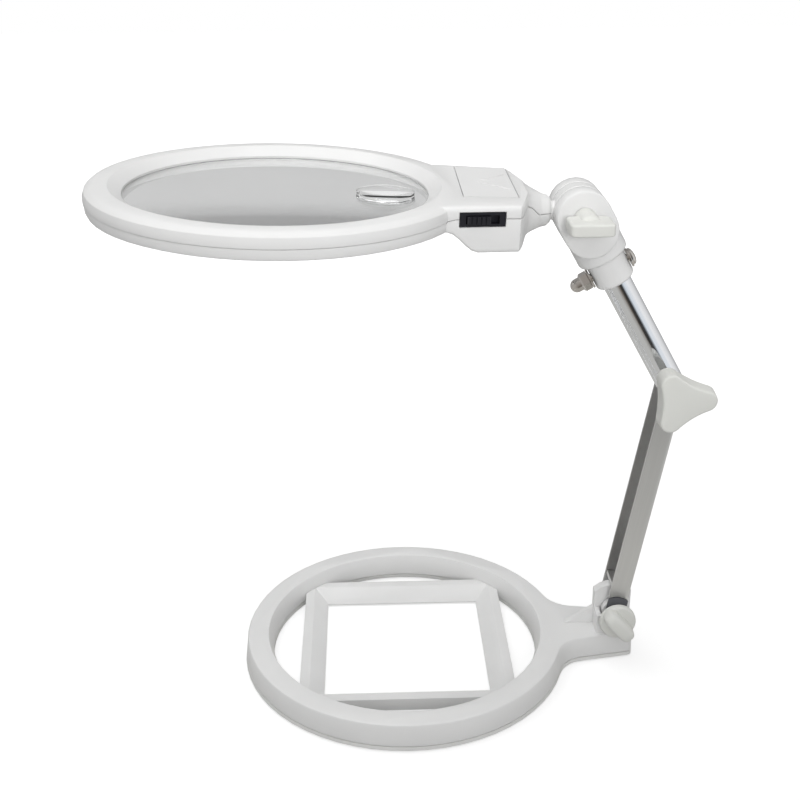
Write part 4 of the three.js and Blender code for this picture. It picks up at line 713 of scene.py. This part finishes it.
def rounded_end(radius, height, corner, steps=ROUND_STEPS):
    """Profile points that turn from a rod's side over a quarter circle to its end"""
    points = []
    for i in range(steps + 1):
        angle = i / steps * TURN / 4
        inward = corner * (1 - math.cos(angle))
        points.append((radius - inward, height - corner + corner * math.sin(angle)))
    return points


def power(value, exponent):
    return math.copysign(abs(value) ** exponent, value)


def pillow(name, half, squareness, place):
    """A block with every edge and corner generously rounded"""
    rows = []
    for level in range(1, PILLOW_LEVELS):
        rise = (level / PILLOW_LEVELS - 0.5) * TURN / 2
        out = power(math.cos(rise), squareness)
        row = []
        for i in range(PILLOW_COLUMNS):
            turn = TURN * i / PILLOW_COLUMNS
            row.append(Vector((
                half.x * out * power(math.cos(turn), squareness),
                half.y * out * power(math.sin(turn), squareness),
                half.z * power(math.sin(rise), squareness),
            )))
        rows.append(row)
    mesh = stacked(name, rows)
    mesh.transform(place)
    return mesh


def facing(centre):
    """A place whose Z runs from a hinge's middle towards the viewer"""
    return Matrix.Translation(centre) @ Matrix.Rotation(TURN / 4, 4, "X")


def along(centre, direction):
    """A place whose Z runs along a direction in the plane of the arms"""
    side = Vector((0, 1, 0))
    turned = Matrix((side, direction.cross(side), direction)).transposed().to_4x4()
    return Matrix.Translation(centre) @ turned


# Lens


def bulged(share, edge, bulge):
    return edge / 2 + bulge * (1 - share * share)


def main_height(x, y):
    return bulged(math.hypot(x, y) / LENS_RADIUS, LENS_EDGE, LENS_BULGE)


def insert_height(x, y):
    return bulged(math.hypot(x - INSERT_OFFSET, y) / INSERT_RADIUS, INSERT_EDGE, INSERT_BULGE)


def spokes():
    return [TURN * i / LENS_SPOKES for i in range(LENS_SPOKES)]


def insert_rows(side):
    """One face of the small lens, from its middle to its rim"""
    rows = []
    for i in range(INSERT_RINGS + 1):
        reach = INSERT_RADIUS * i / INSERT_RINGS
        places = [(INSERT_OFFSET + reach * math.cos(t), reach * math.sin(t)) for t in spokes()]
        rows.append([(x, y, side * insert_height(x, y)) for x, y in places])
    return rows


def main_rows(side):
    """One face of the large lens, from the small lens's rim to its own"""
    rows = []
    for i in range(LENS_RINGS + 1):
        share = i / LENS_RINGS
        rows.append([])
        for t in spokes():
            inner_x = INSERT_OFFSET + INSERT_RADIUS * math.cos(t)
            inner_y = INSERT_RADIUS * math.sin(t)
            x = inner_x + (LENS_RADIUS * math.cos(t) - inner_x) * share
            y = inner_y + (LENS_RADIUS * math.sin(t) - inner_y) * share
            rows[-1].append((x, y, side * main_height(x, y)))
    return rows


def lens_mesh():
    rows = insert_rows(1) + main_rows(1) + main_rows(-1)[::-1] + insert_rows(-1)[::-1]
    points = [point for row in rows for point in row]
    return mesh_of("lens", points, bands_between(len(rows), LENS_SPOKES))


def make_lens():
    place = HEAD_PLACE @ Matrix.Translation((0, 0, LENS_HEIGHT))
    lens = smoothed(new_piece("lens", lens_mesh(), CLEAR, "head", place))
    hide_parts("main_lens", "insert_lens")
    # Light passes straight through, so that the clear lens darkens nothing below it
    lens.visible_shadow = False


# Knobs


def lobed_outline(tip, lobe, waist, height):
    """Round lobes joined by hollow arcs that run smoothly into them, at one height"""
    reach = tip - lobe
    half = TURN / LOBES / 2
    slant = math.cos(half)
    gain = reach ** 2 + waist ** 2 - 2 * reach * waist * slant - lobe ** 2
    hollow = gain / (2 * lobe + 2 * reach * slant - 2 * waist)
    between = waist + hollow
    swing = math.atan2(between * math.sin(half), between * slant - reach)
    inner = swing - half
    points = []
    for i in range(LOBES):
        turn = TURN * i / LOBES
        for step in range(LOBE_STEPS + 1):
            angle = turn + swing * (2 * step / LOBE_STEPS - 1)
            points.append(off_centre(reach, turn, lobe, angle, height))
        away = turn + half
        for step in range(1, LOBE_STEPS):
            angle = away + math.pi - inner * (2 * step / LOBE_STEPS - 1)
            points.append(off_centre(between, away, hollow, angle, height))
    return points


def off_centre(reach, turn, radius, angle, height):
    """A point on a circle whose own centre lies out along a turn"""
    x = reach * math.cos(turn) + radius * math.cos(angle)
    y = reach * math.sin(turn) + radius * math.sin(angle)
    return Vector((x, y, height))


def elbow_rows():
    """Sections of the elbow knob from its back to its face"""
    taper = ELBOW_TIP - ELBOW_FACE_TIP
    sections = [(0, ELBOW_ROUND, ELBOW_BACK), (0, 0, ELBOW_BACK + ELBOW_ROUND)]
    for inset, height in rounded_end(0, ELBOW_FACE, ELBOW_ROUND):
        sections.append((taper, -inset, height))
    rows = []
    for drawn, inset, height in sections:
        cut = drawn + inset
        rows.append(lobed_outline(ELBOW_TIP - cut, ELBOW_LOBE - inset, ELBOW_WAIST - cut, height))
    return rows


def make_elbow_knob():
    boss = [(0, ELBOW_SEAT), (ELBOW_BOSS, ELBOW_SEAT)]
    boss += [(ELBOW_BOSS, ELBOW_BOSS_FACE), (0, ELBOW_BOSS_FACE)]
    meshes = [stacked("elbow_lobes", elbow_rows()), lathe("elbow_boss", boss)]
    place = facing(ELBOW_PIVOT) @ Matrix.Rotation(ELBOW_TURN, 4, "Z")
    knob = joined("elbow_grip", meshes, IVORY, "elbow_knob_body", place)
    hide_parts("elbow_knob")


def make_base_knob():
    disc = [(0, BASE_SEAT), (BASE_NECK, BASE_SEAT), (BASE_NECK, BASE_DISC_BACK)]
    disc.append((BASE_DISC, BASE_DISC_BACK))
    disc += rounded_end(BASE_DISC, BASE_DISC_FACE, BASE_DISC_ROUND)
    disc.append((0, BASE_DISC_FACE + BASE_DISC_CROWN))
    turned = Matrix.Rotation(BASE_TURN, 4, "Z") @ Matrix.Translation((0, 0, BASE_WING_HEIGHT))
    wing = pillow("base_wing", BASE_WING, BASE_WING_SQUARENESS, turned)
    meshes = [lathe("base_disc", disc, BASE_SIDES), wing]
    knob = joined("base_grip", meshes, IVORY, "base_knob_body", facing(BASE_PIVOT))
    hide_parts("base_knob")


def make_head_knob():
    hub = [(0, HUB_SEAT), (HUB_RADIUS, HUB_SEAT)]
    hub += rounded_end(HUB_RADIUS, HUB_FACE, HUB_DOME, HUB_STEPS)
    hub.append((0, HUB_FACE + HUB_CROWN))
    lifted = Matrix.Translation((0, 0, HEAD_WING_HEIGHT))
    meshes = [lathe("head_hub", hub), pillow("head_wing", HEAD_WING, HEAD_WING_SQUARENESS, lifted)]
    knob = joined("head_grip", meshes, IVORY, "head_knob_body", facing(HEAD_PIVOT))
    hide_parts("head_knob")


# Collar bolt and screws


def washer(name):
    high = WASHER_SEAT + WASHER_THICKNESS
    rim = rounded_end(WASHER_RADIUS, high, WASHER_ROUND)
    return lathe(name, [(0, WASHER_SEAT), (WASHER_RADIUS, WASHER_SEAT)] + rim + [(0, high)])


def bolt_mesh():
    """A shank across the tube under a low round head"""
    seat = WASHER_SEAT + WASHER_THICKNESS
    dome = BOLT_HEAD_HEIGHT - BOLT_HEAD_RIM
    profile = [(0, -NUT_SEAT), (BOLT_SHANK, -NUT_SEAT), (BOLT_SHANK, seat), (BOLT_HEAD, seat)]
    for i in range(BOLT_STEPS + 1):
        angle = i / BOLT_STEPS * TURN / 4
        height = seat + BOLT_HEAD_RIM + dome * math.sin(angle)
        profile.append((BOLT_HEAD * math.cos(angle), height))
    return lathe("collar_screw", profile)


def cap_nut_meshes():
    """A chamfered hexagon and the dome that stands on it"""
    top = NUT_SEAT + NUT_HEIGHT
    hexagon = [
        (0, NUT_SEAT),
        (NUT_CORNER - NUT_CHAMFER, NUT_SEAT),
        (NUT_CORNER, NUT_SEAT + NUT_CHAMFER),
        (NUT_CORNER, top - 2 * NUT_CHAMFER),
        (NUT_CORNER - 2 * NUT_CHAMFER, top),
        (0, top),
    ]
    end = NUT_SEAT + NUT_LENGTH
    dome = [(0, NUT_SEAT), (NUT_DOME, NUT_SEAT)]
    dome += rounded_end(NUT_DOME, end, NUT_DOME, DOME_STEPS)
    return [lathe("nut_hexagon", hexagon, NUT_SIDES), lathe("nut_dome", dome)]


def make_collar_bolt():
    left = along(COLLAR_PLACE, -COLLAR_AXIS)
    right = along(COLLAR_PLACE, COLLAR_AXIS)
    for side, place in (("left", left), ("right", right)):
        ring = smoothed(new_piece(f"washer_{side}", washer("washer"), PLATED, "upper_arm", place))
        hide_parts(f"collar_washer_{side}")
    bolt = smoothed(new_piece("collar_screw", bolt_mesh(), PLATED, "upper_arm", right))
    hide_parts("collar_bolt")
    nut = joined("cap_nut", cap_nut_meshes(), PLATED, "upper_arm", left)
    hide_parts("acorn_nut")


def make_screws():
    """Screws in the bottom plate, seen only from below"""
    profile = [
        (0, SCREW_LOW),
        (SCREW_FACE, SCREW_LOW),
        (SCREW_HEAD, SCREW_RIM),
        (SCREW_HEAD, SCREW_STEP),
        (SCREW_SHANK, SCREW_STEP),
        (SCREW_SHANK, SCREW_HIGH),
        (0, SCREW_HIGH),
    ]
    for number in range(SCREWS):
        angle = (number + 0.5) * TURN / SCREWS
        outward = Vector((math.cos(angle), math.sin(angle), 0))
        place = Matrix.Translation(RING_CENTRE + outward * SCREW_CIRCLE)
        screw = lathe("plate_screw", profile, SMALL_SIDES)
        smoothed(new_piece(f"plate_screw_{number + 1}", screw, PLATED, "base", place))


# Lamps and cells


def make_lamp(number, side):
    profile = [(0, LAMP_LOW)]
    for i in range(1, LAMP_STEPS + 1):
        angle = i / LAMP_STEPS * TURN / 4
        height = LAMP_LOW + LAMP_DOME * (1 - math.cos(angle))
        profile.append((LAMP_RADIUS * math.sin(angle), height))
    profile += [(LAMP_RADIUS, LAMP_HIGH), (0, LAMP_HIGH)]
    place = HEAD_PLACE @ Matrix.Translation((LAMP_OFFSET, side * LAMP_SPREAD, 0))
    mesh = lathe("lamp", profile, SMALL_SIDES)
    lamp = smoothed(new_piece(f"lamp_{number}", mesh, EPOXY, "head", place))
    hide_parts(f"led_{number}")


def dress_cells():
    for number in (1, 2):
        node = f"battery_{number}"
        low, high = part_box(node)
        give_look(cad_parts[node], cell_wrap(f"cell_{number}", low.y, high.y))
        smoothed(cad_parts[node])


# Grip on the battery cover


def ridge(name, start, end):
    """A low bar with a round back and thin tips, from one point to another on the cover"""
    run = (end - start).normalized()
    across = Vector((-run.y, run.x, 0)) * RIDGE_WIDTH / 2
    tip = run * RIDGE_WIDTH / 2
    stations = [
        (start - tip, RIDGE_TIP_SHARE),
        (start, 1),
        (end, 1),
        (end + tip, RIDGE_TIP_SHARE),
    ]
    rows = []
    for place, share in stations:
        row = []
        for i in range(RIDGE_STEPS + 1):
            angle = math.pi * i / RIDGE_STEPS
            lift = Vector((0, 0, RIDGE_HEIGHT * math.sin(angle) * share))
            row.append(place + across * math.cos(angle) * share + lift)
        rows.append(row)
    place = HEAD_PLACE @ Matrix.Translation((0, 0, HEAD_TOP))
    return smoothed(new_piece(name, stacked(name, rows), WHITE, "battery_cover_body", place))


def make_grip():
    near = Vector((GRIP_REAR, GRIP_APEX.y - GRIP_HALF, 0))
    far = Vector((GRIP_REAR, GRIP_APEX.y + GRIP_HALF, 0))
    ridge("cover_ridge_near", GRIP_APEX, near)
    ridge("cover_ridge_far", GRIP_APEX, far)


# Studio


def make_camera():
    ahead = Vector((
        math.sin(CAMERA_YAW) * math.cos(CAMERA_PITCH),
        math.cos(CAMERA_YAW) * math.cos(CAMERA_PITCH),
        -math.sin(CAMERA_PITCH),
    ))
    level = Vector((math.cos(CAMERA_YAW), -math.sin(CAMERA_YAW), 0))
    down = ahead.cross(level)
    right = level * math.cos(CAMERA_ROLL) + down * math.sin(CAMERA_ROLL)
    up = level * math.sin(CAMERA_ROLL) - down * math.cos(CAMERA_ROLL)
    data = bpy.data.cameras.new("camera")
    data.sensor_width = SENSOR_WIDTH
    data.lens = CAMERA_LENS
    data.clip_start = CAMERA_NEAR
    data.clip_end = CAMERA_FAR
    camera = bpy.data.objects.new("camera", data)
    turned = Matrix((right, up, -ahead)).transposed().to_4x4()
    camera.matrix_world = Matrix.Translation(CAMERA_PLACE) @ turned
    bpy.context.scene.collection.objects.link(camera)
    bpy.context.scene.camera = camera


def make_light(name, kind, place, target, watts):
    """A lamp turned to a target, which no mirror shows"""
    data = bpy.data.lights.new(name, kind)
    data.energy = watts
    lamp = bpy.data.objects.new(name, data)
    lamp.location = place
    lamp.visible_glossy = False
    lamp.rotation_euler = (place - target).to_track_quat("Z", "Y").to_euler()
    bpy.context.scene.collection.objects.link(lamp)
    return data


def make_panels():
    key = make_light("key", "AREA", KEY_PLACE, LIGHT_TARGET, KEY_POWER)
    key.size = KEY_SIZE
    fill = make_light("fill", "AREA", FILL_PLACE, LIGHT_TARGET, FILL_POWER)
    fill.size = FILL_SIZE


def make_spot():
    """A soft lamp on the upper part, which leaves the base as it is"""
    spot = make_light("spot", "SPOT", SPOT_PLACE, SPOT_TARGET, SPOT_POWER)
    spot.spot_size = SPOT_CONE
    spot.spot_blend = SPOT_BLEND
    spot.shadow_soft_size = SPOT_RADIUS


def room_tone(nodes, links, place):
    """The tone that a mirror shows for a direction or place round the object"""
    axis = nodes.new("ShaderNodeSeparateXYZ")
    links.new(place, axis.inputs["Vector"])
    toward = worked_out(nodes, links, "MULTIPLY", axis.outputs["Y"], -1)
    angle = worked_out(nodes, links, "ARCTAN2", axis.outputs["X"], toward)
    ramp = nodes.new("ShaderNodeValToRGB")
    stops = ramp.color_ramp.elements
    for number, (degrees, tone, warmth) in enumerate(ROOM_TONES):
        position = degrees * DEGREE / TURN + 0.5
        stop = stops[number] if number < FIRST_STOPS else stops.new(position)
        stop.position = position
        stop.color = (tone * (1 + warmth), tone, tone * (1 - warmth), 1)
    links.new(remapped(nodes, links, angle, -math.pi, math.pi), ramp.inputs["Fac"])
    return ramp.outputs["Color"]


def make_world():
    """White to the eye and through glass, a plain studio room in mirrors, and a soft light elsewhere"""
    world = bpy.data.worlds.new("studio")
    world.use_nodes = True
    nodes, links = world.node_tree.nodes, world.node_tree.links
    nodes.clear()
    path = nodes.new("ShaderNodeLightPath").outputs
    way = nodes.new("ShaderNodeTexCoord").outputs["Generated"]
    room = room_tone(nodes, links, way)
    fill = mixed(nodes, links, path["Is Glossy Ray"], SKY_FILL, room)
    direct = worked_out(nodes, links, "MAXIMUM", path["Is Camera Ray"], path["Is Transmission Ray"])
    light = nodes.new("ShaderNodeBackground")
    links.new(mixed(nodes, links, direct, fill, PURE_WHITE), light.inputs["Color"])
    output = nodes.new("ShaderNodeOutputWorld")
    links.new(light.outputs["Background"], output.inputs["Surface"])
    bpy.context.scene.world = world


def distance_from(nodes, links, place, centre):
    node = nodes.new("ShaderNodeVectorMath")
    node.operation = "DISTANCE"
    links.new(place, node.inputs[0])
    node.inputs[1].default_value = centre
    return node.outputs["Value"]


def floor_white(nodes, links, place, path):
    """The floor's own white: more of it farther out, so that it fades out evenly"""
    distance = distance_from(nodes, links, place, FLOOR_CENTRE)
    lift = remapped(nodes, links, distance, FLOOR_NEAR, FLOOR_FAR, FLOOR_LIFT_NEAR, FLOOR_LIFT_FAR)
    glass, eye = path["Is Transmission Ray"], path["Is Camera Ray"]
    direct = worked_out(nodes, links, "MULTIPLY_ADD", glass, FLOOR_GLASS_SHARE, eye)
    return worked_out(nodes, links, "MULTIPLY", direct, lift)


def mirrored_floor(nodes, links, place):
    """What a mirror shows of the floor: an even tone close by, and the room's tones beyond"""
    distance = distance_from(nodes, links, place, MIRRORED_CENTRE)
    share = remapped(nodes, links, distance, MIRRORED_NEAR, MIRRORED_FAR)
    return mixed(nodes, links, share, FLOOR_MIRRORED, room_tone(nodes, links, place))


def floor_look():
    """A pale floor that takes the shadow and looks white beyond it, and shows mirrors the room"""
    look, nodes, links, shader = new_material("floor")
    path = nodes.new("ShaderNodeLightPath").outputs
    place = object_space(nodes)
    links.new(floor_white(nodes, links, place, path), shader.inputs["Emission Strength"])
    shader.inputs["Emission Color"].default_value = PURE_WHITE
    shader.inputs["Base Color"].default_value = FLOOR_TONE
    shader.inputs["Roughness"].default_value = FLOOR_ROUGHNESS
    shader.inputs["Specular IOR Level"].default_value = 0
    mirrored = nodes.new("ShaderNodeEmission")
    links.new(mirrored_floor(nodes, links, place), mirrored.inputs["Color"])
    glossy, glass = path["Is Glossy Ray"], path["Is Transmission Ray"]
    mirrors = worked_out(nodes, links, "SUBTRACT", glossy, glass, clamp=True)
    either = nodes.new("ShaderNodeMixShader")
    links.new(mirrors, either.inputs["Fac"])
    links.new(shader.outputs["BSDF"], either.inputs[1])
    links.new(mirrored.outputs["Emission"], either.inputs[2])
    links.new(either.outputs["Shader"], nodes["Material Output"].inputs["Surface"])
    return look


def make_floor():
    corners = [(-1, -1), (1, -1), (1, 1), (-1, 1)]
    mesh = bpy.data.meshes.new("floor")
    points = [(x * FLOOR_HALF, y * FLOOR_HALF, -FLOOR_DROP) for x, y in corners]
    mesh.from_pydata(points, [], [(0, 1, 2, 3)])
    floor = bpy.data.objects.new("floor", mesh)
    bpy.context.scene.collection.objects.link(floor)
    give_look(floor, floor_look())


dress_nodes()
dress_cells()
make_lens()
make_elbow_knob()
make_base_knob()
make_head_knob()
make_collar_bolt()
make_screws()
make_lamp(1, -1)
make_lamp(2, 1)
make_grip()

make_camera()
make_world()
make_panels()
make_spot()
make_floor()
bpy.context.scene.view_settings.view_transform = "Standard"
